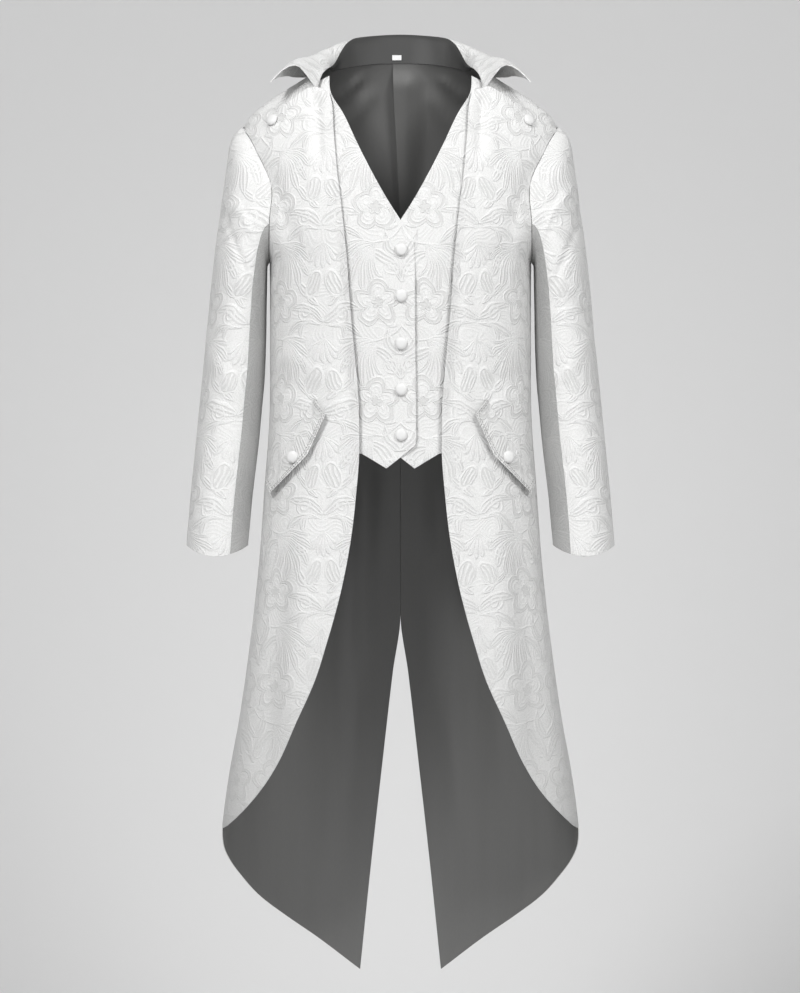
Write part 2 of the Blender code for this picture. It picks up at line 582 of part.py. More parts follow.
def cloth(name, across, along, place, finish, collection, outer=0.0, thickness=CLOTH):
    """A wall of cloth on a grid: place gives its points at the lift of its visible and of its hidden face."""
    bm = bmesh.new()
    bmesh.ops.create_grid(bm, x_segments=len(across) - 1, y_segments=len(along) - 1, size=1)
    bmesh.ops.triangulate(bm, faces=bm.faces[:], quad_method="FIXED")
    number = bm.verts.layers.int.new("number")
    share = np.array([(vert.co.x + 1, vert.co.y + 1) for vert in bm.verts]) / 2
    column = np.asarray(across, float)[np.rint(share[:, 0] * (len(across) - 1)).astype(int)]
    row = np.asarray(along, float)[np.rint(share[:, 1] * (len(along) - 1)).astype(int)]
    for i, vert in enumerate(bm.verts):
        vert[number] = i
    visible = place(column, row, np.full(len(row), outer))
    hidden = place(column, row, np.full(len(row), outer - thickness))
    copied = bmesh.ops.extrude_face_region(bm, geom=bm.faces[:], use_keep_orig=True)["geom"]
    copied = {item for item in copied if isinstance(item, bmesh.types.BMVert)}
    for vert in bm.verts:
        vert.co = hidden[vert[number]] if vert in copied else visible[vert[number]]
    bmesh.ops.recalc_face_normals(bm, faces=bm.faces[:])
    bm.verts.layers.int.remove(number)
    return add_object(name, bm, finish, collection)


def button(name, place, normal, collection):
    """A covered, domed button with its flat back 0.3 mm from the cloth."""
    bm = bmesh.new()
    bmesh.ops.create_uvsphere(bm, u_segments=14, v_segments=8, radius=1)
    for vert in bm.verts:
        flat = 0.30 if vert.co.z < 0 else 0.70
        vert.co = (vert.co.x * BUTTON_SIZE / 2, vert.co.y * BUTTON_SIZE / 2, vert.co.z * BUTTON_HEIGHT * flat)
    made = add_object(name, bm, "button", collection)
    normal = Vector(normal).normalized()
    made.location = Vector(place) + normal * (SEAM + 0.0001 + 0.30 * BUTTON_HEIGHT)
    made.rotation_mode = "QUATERNION"
    made.rotation_quaternion = normal.to_track_quat("Z", "Y")
    return made


def label(collection):
    """The blank tab at the back of the neck, on the collar's facing."""
    bm = bmesh.new()
    bmesh.ops.create_cube(bm, size=1)
    bmesh.ops.scale(bm, vec=LABEL_SIZE, verts=bm.verts)
    made = add_object("neck_label", bm, "label", collection)
    station = np.array([LABEL_STATION])
    near = collar_place(station, np.array([LABEL_ROW]), np.array([FACING_LIFT]))[0]
    far = collar_place(station, np.array([LABEL_ROW]), np.array([FACING_LIFT + 0.001]))[0]
    normal = Vector(far - near).normalized()
    made.location = Vector(near) + normal * (SEAM + LABEL_SIZE[1] / 2)
    made.rotation_mode = "QUATERNION"
    made.rotation_quaternion = normal.to_track_quat("-Y", "Z")
    return made


def surface_and_normal(x, z, side, lift):
    """A point in front and the outward direction there."""
    x = np.array([x])
    z = np.array([z])
    low = seen(x, z, side, -1, lift)[0]
    high = seen(x, z, side, -1, lift + 0.001)[0]
    return low, high - low


def name_of(side):
    return "left" if side > 0 else "right"


def build():
    for old in list(bpy.data.objects):
        bpy.data.objects.remove(old, do_unlink=True)
    parts = bpy.data.collections.new("tailcoat")
    bpy.context.scene.collection.children.link(parts)

    front_armhole = np.append(UNDERARM_ROWS, np.linspace(SLEEVE_FRONT_SEAM, FRONT_LEVEL, 7))
    back_armhole = np.append(UNDERARM_ROWS, np.linspace(SLEEVE_BACK_SEAM, DOME, 8))
    front_low = bands((FRONT_LOW, FRONT_HEM, 3), (FRONT_HEM, FRONT_SKIRT, 6), (FRONT_SKIRT, UNDERARM, 10))
    front_rows = np.append(front_low[:-1], front_armhole)
    back_low = bands((TAIL_TIP, TAIL_ROUND, 6), (TAIL_ROUND, VENT_TOP, 4), (VENT_TOP, UNDERARM, 8))
    back_rows = np.append(back_low[:-1], back_armhole)
    neck_shares = np.array([0, 0.12, 0.34, 0.56, 0.76, 0.91, 1])
    neck_columns = np.arcsin(neck_shares * NECK_POINT / half_width(NECK_LEVEL)) / outer_angle(DOME)
    back_columns = np.append(neck_columns, np.linspace(neck_columns[-1], 1, 6)[1:])
    yoke_rows = np.array([0, 0.14, 0.32, 0.52, 0.70, YOKE_SEEN, 1])
    vest_rows = np.append(np.linspace(0, VEST_LOW, 2, endpoint=False), np.linspace(VEST_LOW, 1, 18))
    vest_columns = [row.share for row in VEST_HEM]
    sleeve_rows = np.arange(len(RINGS)) / (len(RINGS) - 1)
    yoke_armhole = mix(DOME, FRONT_LEVEL, yoke_rows[:-2] / YOKE_SEEN)
    front_turns = armhole_turn(np.concatenate([yoke_armhole, front_armhole[::-1]]))
    back_turns = 2 * pi - armhole_turn(back_armhole)
    front_seam = armhole_turn(SLEEVE_FRONT_SEAM)
    back_seam = 2 * pi - armhole_turn(SLEEVE_BACK_SEAM)
    turns = np.concatenate([front_turns, back_turns[1:]])
    behind = turns[turns > back_seam - 1e-6] - 2 * pi
    ahead = turns[(turns > 0) & (turns < front_seam + 1e-6)]
    top_turns = np.concatenate([behind, ahead])
    under_turns = turns[(turns > front_seam - 1e-6) & (turns < back_seam + 1e-6)]
    for side in (1, -1):
        name = name_of(side)
        cloth(f"front_{name}", np.linspace(0, 1, 10), front_rows, front_panel(side), "brocade", parts)
        cloth(f"back_{name}", back_columns, back_rows, back_panel(side), "brocade", parts)
        lining = back_panel(side, LINING_LIFT, LINING_INSET, pleat=side > 0)
        cloth(f"lining_back_{name}", back_columns, back_rows, lining, "lining", parts, thickness=LINING)
        cloth(f"yoke_{name}", np.linspace(0, 1, 8), yoke_rows, yoke_panel(side), "brocade", parts)
        cloth(f"waistcoat_{name}", vest_columns, vest_rows, vest_panel(side, over=side < 0), "brocade", parts)
        flap = flap_panel(side)
        cloth(f"pocket_flap_{name}", np.linspace(0, 1, 9), np.linspace(0, 1, 4), flap, "brocade", parts,
              thickness=FLAP_CLOTH)
        for piece, piece_turns in (("top", top_turns), ("under", under_turns)):
            piece_turns = piece_turns.copy()
            piece_turns[0] += SEAM_TURN
            piece_turns[-1] -= SEAM_TURN
            cloth(f"sleeve_{piece}_{name}", piece_turns, sleeve_rows, sleeve_panel(side), "brocade", parts)
        place, normal = surface_and_normal(*SHOULDER_BUTTON, side, 0)
        button(f"button_shoulder_{name}", place, normal, parts)
        place, normal = surface_and_normal(*FLAP_BUTTON, side, FLAP_LIFT)
        button(f"button_flap_{name}", place, normal, parts)
    for number, height in enumerate(VEST_BUTTONS, 1):
        place, normal = surface_and_normal(-0.001, height, -1, VEST_OVER + 0.0003)
        button(f"button_waistcoat_{number}", place, normal, parts)

    shares = np.concatenate([neck_shares, 1 + yoke_rows[1:-2]])
    stations = np.concatenate([-shares[:0:-1], shares])
    collar_rows = np.linspace(0, 1, 11)
    cloth("collar", stations, collar_rows, collar_place, "brocade", parts)
    facing_stations = stations[np.abs(stations) <= 1]
    facing_rows = collar_rows[collar_rows <= FACING_ROW]
    cloth("collar_facing", facing_stations, facing_rows, collar_place, "lining", parts, FACING_LIFT, LINING)
    label(parts)


build()
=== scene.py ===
# %% [markdown]
# # A brocade tailcoat with its own waistcoat front
# The real coat is cut from flat cloth, sewn into tubes and shells, and filled out here as if it were worn.
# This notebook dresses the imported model: it keeps every seam where the model has it, makes each panel again
# on a finer grid with soft folds, and then gives it the white brocade, the grey satin and the covered
# buttons.

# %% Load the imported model
from collections import namedtuple
from math import pi, radians

import bmesh
import bpy
import numpy as np
from mathutils import Matrix, Vector


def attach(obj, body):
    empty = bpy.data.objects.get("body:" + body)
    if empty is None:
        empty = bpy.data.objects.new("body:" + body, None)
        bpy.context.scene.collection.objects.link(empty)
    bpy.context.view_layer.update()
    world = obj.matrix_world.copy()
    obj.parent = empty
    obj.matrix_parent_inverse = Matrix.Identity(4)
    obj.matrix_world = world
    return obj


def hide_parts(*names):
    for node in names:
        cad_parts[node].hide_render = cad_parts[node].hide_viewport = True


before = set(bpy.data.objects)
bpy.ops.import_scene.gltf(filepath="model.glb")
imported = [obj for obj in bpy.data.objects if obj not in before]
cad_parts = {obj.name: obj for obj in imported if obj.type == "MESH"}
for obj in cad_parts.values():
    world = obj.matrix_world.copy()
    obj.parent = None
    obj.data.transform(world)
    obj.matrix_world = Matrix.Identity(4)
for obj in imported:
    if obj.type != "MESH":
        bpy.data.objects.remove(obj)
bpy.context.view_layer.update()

# %% [markdown]
# ## Camera
# The photograph was taken from straight in front, far away and at the height of the coat's middle, so that
# the fronts hardly converge. A long lens at six metres gives the same flat view, and a level camera needs
# no shift.

# %% Camera
EYE_DISTANCE = 6.0
EYE_HEIGHT = -0.5621
EYE_SIDE = -0.0007           # the coat hangs this far beside the picture's middle
FRAME_HEIGHT = 1.3902        # height of the view at the coat
SENSOR = 36.0

camera_data = bpy.data.cameras.new("camera")
camera_data.sensor_fit = "VERTICAL"
camera_data.sensor_height = SENSOR
camera_data.lens = SENSOR * EYE_DISTANCE / FRAME_HEIGHT
camera = bpy.data.objects.new("camera", camera_data)
camera.location = (EYE_SIDE, -EYE_DISTANCE, EYE_HEIGHT)
camera.rotation_euler = (pi / 2, 0, 0)
bpy.context.scene.collection.objects.link(camera)
bpy.context.scene.camera = camera
print("lens", round(camera_data.lens, 1), "mm")

# %% [markdown]
# ## Floor, backdrop and light
# A studio sweep is a floor that curves up into a wall, so that no line shows behind the coat. White cloth
# needs light that is soft and comes a little more from one side, or its raised pattern would vanish. The
# key lamp stands in front on the left, a larger and weaker one on the right, small ones lift the shoulders,
# the hem and the backdrop, and the world fills the shadows. The sweep is painted on its front only, so that
# the coat can also be seen and lit from behind.

# %% Floor and backdrop
FLOOR_HEIGHT = -1.60
SWEEP_START = 1.5
SWEEP_RADIUS = 1.1
SWEEP_STEPS = 24
WALL_HEIGHT = 5.0
STAGE_WIDTH = 14.0
STAGE_FRONT = 8.0            # how far the floor reaches towards the camera
STAGE_PAINT = (0.75, 0.75, 0.75, 1)
STAGE_ROUGHNESS = 0.95

def make_sweep():
    bm = bmesh.new()
    left = bm.verts.new((-STAGE_WIDTH / 2, -STAGE_FRONT, FLOOR_HEIGHT))
    right = bm.verts.new((STAGE_WIDTH / 2, -STAGE_FRONT, FLOOR_HEIGHT))
    edge = bm.edges.new((left, right))
    turned = bmesh.ops.extrude_edge_only(bm, edges=[edge])["geom"]
    moved = [item for item in turned if isinstance(item, bmesh.types.BMVert)]
    bmesh.ops.translate(bm, vec=(0, STAGE_FRONT + SWEEP_START, 0), verts=moved)
    last = [item for item in turned if isinstance(item, bmesh.types.BMEdge)]
    last = [item for item in last if all(vert in moved for vert in item.verts)]
    spun = bmesh.ops.spin(bm, geom=last, cent=(0, SWEEP_START, FLOOR_HEIGHT + SWEEP_RADIUS), axis=(1, 0, 0),
                          angle=pi / 2, steps=SWEEP_STEPS)["geom_last"]
    top = [item for item in spun if isinstance(item, bmesh.types.BMEdge)]
    wall = bmesh.ops.extrude_edge_only(bm, edges=top)["geom"]
    moved = [item for item in wall if isinstance(item, bmesh.types.BMVert)]
    bmesh.ops.translate(bm, vec=(0, 0, WALL_HEIGHT), verts=moved)
    bmesh.ops.recalc_face_normals(bm, faces=bm.faces[:])
    if max(bm.faces, key=lambda face: face.calc_center_median().z).normal.y > 0:
        bmesh.ops.reverse_faces(bm, faces=bm.faces[:])
    mesh = bpy.data.meshes.new("backdrop")
    bm.to_mesh(mesh)
    bm.free()
    mesh.shade_smooth()
    made = bpy.data.objects.new("backdrop", mesh)
    bpy.context.scene.collection.objects.link(made)
    paint = bpy.data.materials.new("backdrop_paint")
    paint.use_nodes = True
    shader = paint.node_tree.nodes["Principled BSDF"]
    shader.inputs["Base Color"].default_value = STAGE_PAINT
    shader.inputs["Roughness"].default_value = STAGE_ROUGHNESS
    nodes, links = paint.node_tree.nodes, paint.node_tree.links
    mixer = nodes.new("ShaderNodeMixShader")
    links.new(nodes.new("ShaderNodeNewGeometry").outputs["Backfacing"], mixer.inputs[0])
    links.new(shader.outputs[0], mixer.inputs[1])
    links.new(nodes.new("ShaderNodeBsdfTransparent").outputs[0], mixer.inputs[2])
    links.new(mixer.outputs[0], nodes["Material Output"].inputs["Surface"])
    mesh.materials.append(paint)
    return made

sweep = make_sweep()
print("backdrop faces", len(sweep.data.polygons))

# %% Lights
def table(columns, rows):
    """Rows whose values are called by the names of their columns."""
    row_kind = namedtuple("Row", columns)
    return tuple(row_kind(*row) for row in rows)


LAMPS = table("name place aim size power", (
    ("key", (-1.6, -3.1, 2.0), (0.0, 0.0, 0.25), 0.9, 88),
    ("fill", (2.0, -3.2, 1.7), (0.0, 0.0, 0.20), 1.5, 70),
    ("top", (0.0, -0.9, 2.3), (0.0, 0.0, 0.00), 1.4, 10),
    ("low", (0.0, -3.0, -1.5), (0.0, 0.2, -0.40), 1.2, 9),
    ("backdrop", (0.0, 1.3, -0.75), (0.0, 2.6, -0.75), 0.9, 4),
    ("behind", (2.4, 3.2, 1.8), (0.0, 0.1, -0.4), 1.6, 36),
))

for lamp in LAMPS:
    data = bpy.data.lights.new(lamp.name, "AREA")
    data.shape = "DISK"
    data.size = lamp.size
    data.energy = lamp.power
    made = bpy.data.objects.new(lamp.name, data)
    made.location = lamp.place
    made.rotation_euler = (Vector(lamp.aim) - Vector(lamp.place)).to_track_quat("-Z", "Y").to_euler()
    bpy.context.scene.collection.objects.link(made)

WORLD_LIGHT = 0.25
world = bpy.data.worlds.new("studio")
world.use_nodes = True
world.node_tree.nodes["Background"].inputs["Color"].default_value = (1, 1, 1, 1)
world.node_tree.nodes["Background"].inputs["Strength"].default_value = WORLD_LIGHT
bpy.context.scene.world = world
bpy.context.scene.view_settings.view_transform = "Standard"
print("lamps", len(LAMPS))

# %% [markdown]
# ## The coat's surface
# A pattern cutter thinks in a few measures at each height: chest, waist, hip. The same is done here. A
# table gives the half width and the depth at each level, a smooth line joins the rows, and every panel of
# the body lies on the one surface that they make. Pieces on top of each other then never cross, because
# each is lifted off that surface by its own amount.

# %% Smooth lines through a table
def smooth_line(x, y, samples=900):
    """A function through the points (x, y) that is smooth and never overshoots them."""
    x = np.asarray(x, float)
    y = np.asarray(y, float)
    step = np.diff(x)
    slope = np.diff(y) / step
    tangent = np.concatenate(([slope[0]], (slope[1:] + slope[:-1]) / 2, [slope[-1]]))
    turning = slope[1:] * slope[:-1] <= 0
    tangent[1:-1][turning] = 0
    limit = 3 * np.minimum(np.abs(np.append(slope, slope[-1])), np.abs(np.insert(slope, 0, slope[0])))
    tangent = np.clip(tangent, -limit, limit)
    at = np.union1d(np.linspace(x[0], x[-1], samples), x)
    i = np.clip(np.searchsorted(x, at, side="right") - 1, 0, len(step) - 1)
    t = (at - x[i]) / step[i]
    value = (y[i] * (1 + 2 * t) * (1 - t) ** 2 + step[i] * tangent[i] * t * (1 - t) ** 2
             + y[i + 1] * t * t * (3 - 2 * t) + step[i] * tangent[i + 1] * t * t * (t - 1))
    return lambda wanted: np.interp(wanted, at, value)


def table_line(rows, given, wanted):
    """The smooth line of one named column of a table over another."""
    return smooth_line([getattr(row, given) for row in rows], [getattr(row, wanted) for row in rows])


def mix(a, b, share):
    return a + (b - a) * share


def ease(value):
    value = np.clip(value, 0, 1)
    return value * value * (3 - 2 * value)


def grow(value, start, length):
    """0 up to start, and then softly up to 1 over the length."""
    return ease((value - start) / length)


print("half way along an even line:", smooth_line([0, 1, 2], [0, 1, 2])(1.0))

# %% Sizes and tables of the coat
# Cloth and seams
CLOTH = 0.0013           # brocade with its interlining
LINING = 0.0010
SEAM = 0.0003            # gap between pieces that are sewn together
LINING_LIFT = -0.0016    # the lining's outer face, inside the brocade
PLEAT_WIDTH = 0.0110
PLEAT_END = -0.020       # level where the lining's centre pleat is closed
PLEAT_OPENS = 0.180      # length over which it opens to its full width
PLEAT_TOP = 0.166        # level where it is sewn in under the collar
PLEAT_SHARE = 0.16       # share of the lining's width that rises to the pleat's edge
PLEAT_LIFT = 0.0150      # how far its upper layer stands off the lower one
PLEAT_FOOT = 0.08        # lengths over which that fades at its lower and its upper end
PLEAT_HEAD = 0.03
LINING_INSET = 0.0008    # how far the lining stays back from the vent, hem and side
BORDER_STEP = (-0.01, 0.02)  # beside the underarm, where it starts to stay back from the armhole, how fast
SEAM_CLOSES = 0.020      # length above the vent over which the centre seam closes
BUTTON_SIZE = 0.0170
BUTTON_HEIGHT = 0.0055

# The body's surface: straight below the chest line, a rounded roof above it
CHEST = -0.200           # height of the chest line
DOME = 0.250             # level of the shoulder ridge, measured from the chest line
UNDERARM = -0.035        # level of the lowest point of the armhole
SQUARENESS = 2.4         # of the round section, where 2 is an ellipse
ROOF = 0.75              # how fast the depth shrinks towards the shoulder ridge

# A level is a height below the chest line in metres, and above it runs on to DOME at the shoulder ridge
SECTIONS = table("level half_width front_depth back_depth", (
    (-1.06, 0.25, 0.14, 0.15),
    (-0.87, 0.251, 0.138, 0.147),
    (-0.832, 0.25, 0.137, 0.146),
    (-0.752, 0.24, 0.134, 0.144),
    (-0.675, 0.226, 0.132, 0.142),
    (-0.563, 0.21, 0.129, 0.138),
    (-0.45, 0.1975, 0.125, 0.13),
    (-0.345, 0.19, 0.121, 0.118),
    (-0.255, 0.1835, 0.118, 0.106),
    (-0.2, 0.1825, 0.118, 0.104),
    (-0.1, 0.1825, 0.124, 0.112),
    (-0.035, 0.183, 0.127, 0.118),
    (-0.025, 0.1875, 0.127, 0.119),
    (-0.01, 0.195, 0.128, 0.12),
    (0.0083, 0.202, 0.128, 0.12),
    (0.0415, 0.206, 0.128, 0.12),
    (0.081, 0.212, 0.128, 0.12),
    (0.114, 0.222, 0.127, 0.12),
    (0.178, 0.23, 0.126, 0.126),
    (0.25, 0.235, 0.125, 0.128),
))

# Height of the shoulder ridge over each half width, and its imagined line across the neck
RIDGE = table("x z", (
    (0.0, 0.093), (0.01, 0.093), (0.03, 0.088), (0.055, 0.073),
    (0.08, 0.054), (0.104, 0.0385),
    (0.12, 0.0305), (0.134, 0.0225), (0.145, 0.0155), (0.161, 0.006),
    (0.179, -0.0056), (0.194, -0.0165), (0.208, -0.0285), (0.2205, -0.046),
))

# Outlines on that surface
ARMHOLE = table("level x", (
    (-0.035, 0.183), (-0.025, 0.1825), (-0.01, 0.1815), (0.0083, 0.1805),
    (0.0415, 0.179), (0.061, 0.181), (0.081, 0.1875), (0.114, 0.2),
    (0.178, 0.2155), (0.25, 0.2205),
))
FRONT_EDGE = table("z x", (
    (-1.0265, 0.25), (-1.02, 0.242), (-0.98, 0.2035),
    (-0.929, 0.1695), (-0.874, 0.143), (-0.817, 0.118),
    (-0.762, 0.1008), (-0.721, 0.0891), (-0.682, 0.0795),
    (-0.623, 0.0685), (-0.5545, 0.0603), (-0.498, 0.0562),
    (-0.436, 0.0569), (-0.374, 0.0617), (-0.325, 0.0665),
    (-0.283, 0.0699), (-0.233, 0.0736), (-0.153, 0.0823),
    (-0.121, 0.0865), (-0.064, 0.0915), (-0.02, 0.095),
    (-0.003, 0.0995),
))
FRONT_TOP = table("x z", (
    (0.095, -0.004), (0.0995, -0.003), (0.1175, 0.002), (0.1226, 0.001),
    (0.1365, -0.0072), (0.1553, -0.0205), (0.1686, -0.027),
    (0.1928, -0.0375), (0.2205, -0.05),
))
FRONT_LEVEL = 0.200      # level where the front's top edge meets the armhole
BACK_NECK = table("x z", (
    (0.0, 0.053), (0.03, 0.0525), (0.055, 0.0495), (0.078, 0.0445),
    (0.095, 0.04), (0.104, 0.0385),
))
EDGE_SHARE = 0.085       # share of the front whose edge stands off the waistcoat
EDGE_HEIGHTS = (-0.60, -0.50, -0.40, -0.28, -0.15, -0.02)
EDGE_PROUD = (0.0, 0.0045, 0.0048, 0.0040, 0.0018, 0.0006)
LOOSE_LIFT = 0.0070      # how far the front's top edge stands off the yoke where it is loose, and how deep
LOOSE_DEPTH = 0.030
LOOSE_STARTS = (0.02, 0.10)  # shares of the front where that begins and ends, and over how much of it
LOOSE_ENDS = (0.34, 0.26)
NECK_POINT = 0.104       # half width of the neck opening at the shoulder ridge
NECK_LEVEL = 0.210       # level whose width sets out the columns under the neck
TIP_SHARE = 0.85         # from here on a front's top rows reach the armhole's own level
BEND = -0.10             # above this level the rows bend towards the neck and shoulder
VENT = table("level x", (
    (-1.042, 0.058), (-0.888, 0.042), (-0.75, 0.0265), (-0.613, 0.0107),
    (-0.5318, 0.0), (-0.3, 0.0),
))
TAIL_TIP = -1.040
TAIL_ROUND = -0.750      # the rows below this level follow the hem
VENT_TOP = -0.5318
FRONT_LOW = -0.8262      # levels of the front's lowest point, and where its outline and its skirt begin
FRONT_HEM = -0.800
FRONT_SKIRT = -0.560
# The tails' hem from the vent to the side seam, by the share of the way round
HEM = table("share level", (
    (0.0, -1.04), (0.207, -0.993), (0.382, -0.959), (0.547, -0.928),
    (0.684, -0.8985), (0.83, -0.87), (0.93, -0.8495), (1.0, -0.829),
))

# Waistcoat, on its own side: its edge from the hem's corner up the front and the V to the shoulder
VEST_EDGE = table("z x", (
    (-0.53, -0.0205), (-0.492, -0.0205), (-0.48, -0.0215),
    (-0.326, -0.02), (-0.218, -0.0193), (-0.203, -0.013),
    (-0.1827, 0.0), (-0.155, 0.0177), (-0.118, 0.0384),
    (-0.0755, 0.06), (-0.035, 0.0788), (-0.0019, 0.098),
    (0.025, 0.102), (0.032, 0.1022),
))
VEST_HEM = table("share z", (
    (0.0, -0.492), (0.16, -0.5076), (0.325, -0.5236), (0.47, -0.513),
    (0.61, -0.5032), (0.8, -0.5015), (1.0, -0.5),
))
VEST_LOW = 0.12          # share of the rows that slant with the hem
VEST_STRAIGHT = -0.255   # level of the first straight row
VEST_TOP = 0.200
VEST_LIFT = -0.0043      # outer face of the waistcoat, inside the coat's surface
VEST_SEWN = -0.0022      # the same at its hidden edge, on the coat's front
VEST_NECK = -0.0068      # the same near the neck, behind the yoke and the collar
VEST_OVER = -0.0021      # outer face of the waistcoat front that lies on the other one
VEST_PROUD = 0.0034      # how far its free edge stands off, and over what width
VEST_PROUD_WIDTH = 0.022
VEST_PROUD_STEP = (0.04, 0.03)   # this far below the chest line that begins, and over what length
VEST_SEWN_SHARE = (0.6, 0.4)     # share of its width where it starts to rise to the front, and how much
VEST_SEWN_STEP = (-0.10, 0.06)   # levels where that ends, and where it sinks to its place at the neck
VEST_NECK_STEP = (0.05, 0.10)
VEST_HIDDEN = 0.045      # width of the waistcoat under the coat's front
VEST_ARMHOLE = 0.012     # the least distance from its hidden edge to the armhole
VEST_LAPS = (0.024, 0.046)   # between these half widths the upper front comes down beside the lower one
VEST_BUTTONS = (-0.2235, -0.2865, -0.3520, -0.4150, -0.4775)

# Yoke, whose front edge lies under the coat's front
YOKE_CORNER = 0.1165     # half width where its hidden edge begins
SHOULDER_TIP = 0.2205    # half width of the shoulder ridge at the armhole
YOKE_UNDER = 0.018       # share of level that is hidden
YOKE_SEEN = 0.78         # share of the yoke's rows that shows
YOKE_LIFT = -0.0021      # how deep it lies under the front
YOKE_SINKS = YOKE_SEEN - 0.1     # share of its rows over which it sinks to that
YOKE_SIDE = (0.8, 0.2)   # from this share on, and over what share, its columns turn to the armhole

# Sleeve rings from the armhole to the cuff: outermost and innermost point, and half the depth
RINGS = table("outer_x outer_z inner_x inner_z half_depth forward armhole_share", (
    (0.2205, -0.046, 0.183, -0.235, 0.07, 0.0, 1.0),
    (0.232, -0.056, 0.1858, -0.24, 0.0715, 0.0, 0.88),
    (0.2387, -0.071, 0.1862, -0.247, 0.073, 0.0, 0.7),
    (0.242, -0.093, 0.1864, -0.255, 0.0735, 0.0, 0.5),
    (0.2457, -0.118, 0.1866, -0.265, 0.0735, 0.0, 0.32),
    (0.2513, -0.162, 0.187, -0.285, 0.0725, 0.0, 0.15),
    (0.2576, -0.203, 0.1875, -0.308, 0.0705, 0.001, 0.04),
    (0.2646, -0.262, 0.188, -0.34, 0.0685, 0.003, 0.0),
    (0.272, -0.34, 0.19, -0.395, 0.0655, 0.004, 0.0),
    (0.278, -0.4, 0.194, -0.44, 0.063, 0.003, 0.0),
    (0.284, -0.463, 0.1985, -0.49, 0.0605, -0.001, 0.0),
    (0.2926, -0.554, 0.207, -0.565, 0.0565, -0.011, 0.0),
    (0.2965, -0.605, 0.2105, -0.609, 0.054, -0.018, 0.0),
    (0.2985, -0.64, 0.2125, -0.64, 0.052, -0.023, 0.0),
))
CUFF_START = 0.88            # share of the sleeve below which the cuff's edge bends
CUFF_RISE = 0.0150           # how much higher the cuff ends at its sides than in front and behind
CUFF_DIP = 0.0050
# Creases of the sleeves: where each is round and along the sleeve, its slant, half width, reach and height
CREASES = table("side turn along slant width reach height", (
    (1, 0.9, 0.3, -0.05, 0.02, 1.0, 0.0022), (-1, 1.0, 0.33, -0.045, 0.022, 1.1, 0.0024),
    (1, 1.2, 0.43, 0.04, 0.018, 0.9, -0.0024), (-1, 1.1, 0.4, 0.05, 0.017, 0.8, -0.0022),
    (1, 1.0, 0.56, -0.06, 0.02, 1.1, -0.0026), (-1, 1.2, 0.54, -0.05, 0.021, 1.0, -0.0028),
    (1, 1.3, 0.63, 0.035, 0.017, 0.9, 0.002), (-1, 1.0, 0.65, 0.045, 0.019, 1.0, 0.0022),
    (1, 4.9, 0.38, 0.06, 0.022, 1.0, -0.0026), (-1, 4.8, 0.42, 0.05, 0.02, 1.1, -0.0026),
    (1, 4.9, 0.58, -0.045, 0.019, 0.9, -0.003), (-1, 5.0, 0.6, -0.05, 0.021, 1.0, -0.0028),
    (1, 4.8, 0.66, 0.05, 0.02, 0.9, 0.0024), (-1, 4.9, 0.52, 0.045, 0.018, 0.8, 0.002),
))
CREASE_OUTER = 0.5           # how much of a crease the sleeve's outer line follows
SLEEVE_FRONT_SEAM = 0.0125   # levels where the sleeve's seams meet the armhole
SLEEVE_BACK_SEAM = 0.0290
SLEEVE_CLEAR = 0.0005    # gap of the sleeve's head to the armhole's edge, and what the tip adds to it
SLEEVE_CLEAR_TIP = 0.0006
SLEEVE_TIP_POWER = 8     # how fast that fades away from the tip
SLEEVE_DROP = -0.3       # how much of the gap goes downwards
ARMHOLE_SAMPLES = 4001
UNDERARM_ROWS = (-0.0350, -0.0300, -0.0150)
SEAM_TURN = radians(0.16)

# Collar stations from the centre back to the front edge: each is a line from its seam to its free edge
STATIONS = table("seam roll rise crest fall edge facing_share", (
    (0.0, (0.0, 0.081, 0.083), (0.0, 0.084, 0.09), (0.0, 0.0885, 0.0925),
            (0.0, 0.0935, 0.084), (0.0, 0.0955, 0.043), 0.58),
    (0.28, (0.0295, 0.079, 0.0815), (0.0298, 0.082, 0.0885), (0.031, 0.0865, 0.091),
            (0.0325, 0.0915, 0.0825), (0.034, 0.094, 0.0415), 0.58),
    (0.52, (0.0535, 0.0695, 0.078), (0.0545, 0.0735, 0.085), (0.057, 0.0785, 0.0875),
            (0.06, 0.084, 0.0785), (0.063, 0.088, 0.0385), 0.56),
    (0.75, (0.0765, 0.053, 0.064), (0.0765, 0.057, 0.0765), (0.0805, 0.0625, 0.0815),
            (0.087, 0.069, 0.072), (0.092, 0.0755, 0.0345), 0.42),
    (0.9, (0.0915, 0.031, 0.0475), (0.0935, 0.038, 0.0625), (0.1005, 0.043, 0.0705),
            (0.109, 0.047, 0.064), (0.1185, 0.0525, 0.03), 0.24),
    (1.0, (0.0975, 0.0, 0.04), (0.1045, 0.008, 0.053), (0.118, 0.012, 0.0585),
            (0.131, 0.0145, 0.052), (0.1435, 0.017, 0.0265), 0.2),
    (1.28, (0.1035, -0.029, 0.033), (0.114, -0.022, 0.042), (0.132, -0.018, 0.051),
            (0.148, -0.0195, 0.0455), (0.158, -0.022, 0.0245), 0.2),
    (1.5, (0.1095, -0.049, 0.025), (0.1215, -0.042, 0.036), (0.1405, -0.047, 0.0455),
            (0.157, -0.05, 0.0385), (0.171, -0.054, 0.0195), 0.2),
    (1.7, (0.118, -0.0715, 0.0055), (0.1362, -0.076, 0.0301), (0.1494, -0.079, 0.0346),
            (0.1655, -0.083, 0.0258), (0.1801, -0.086, 0.0103), 0.2),
))

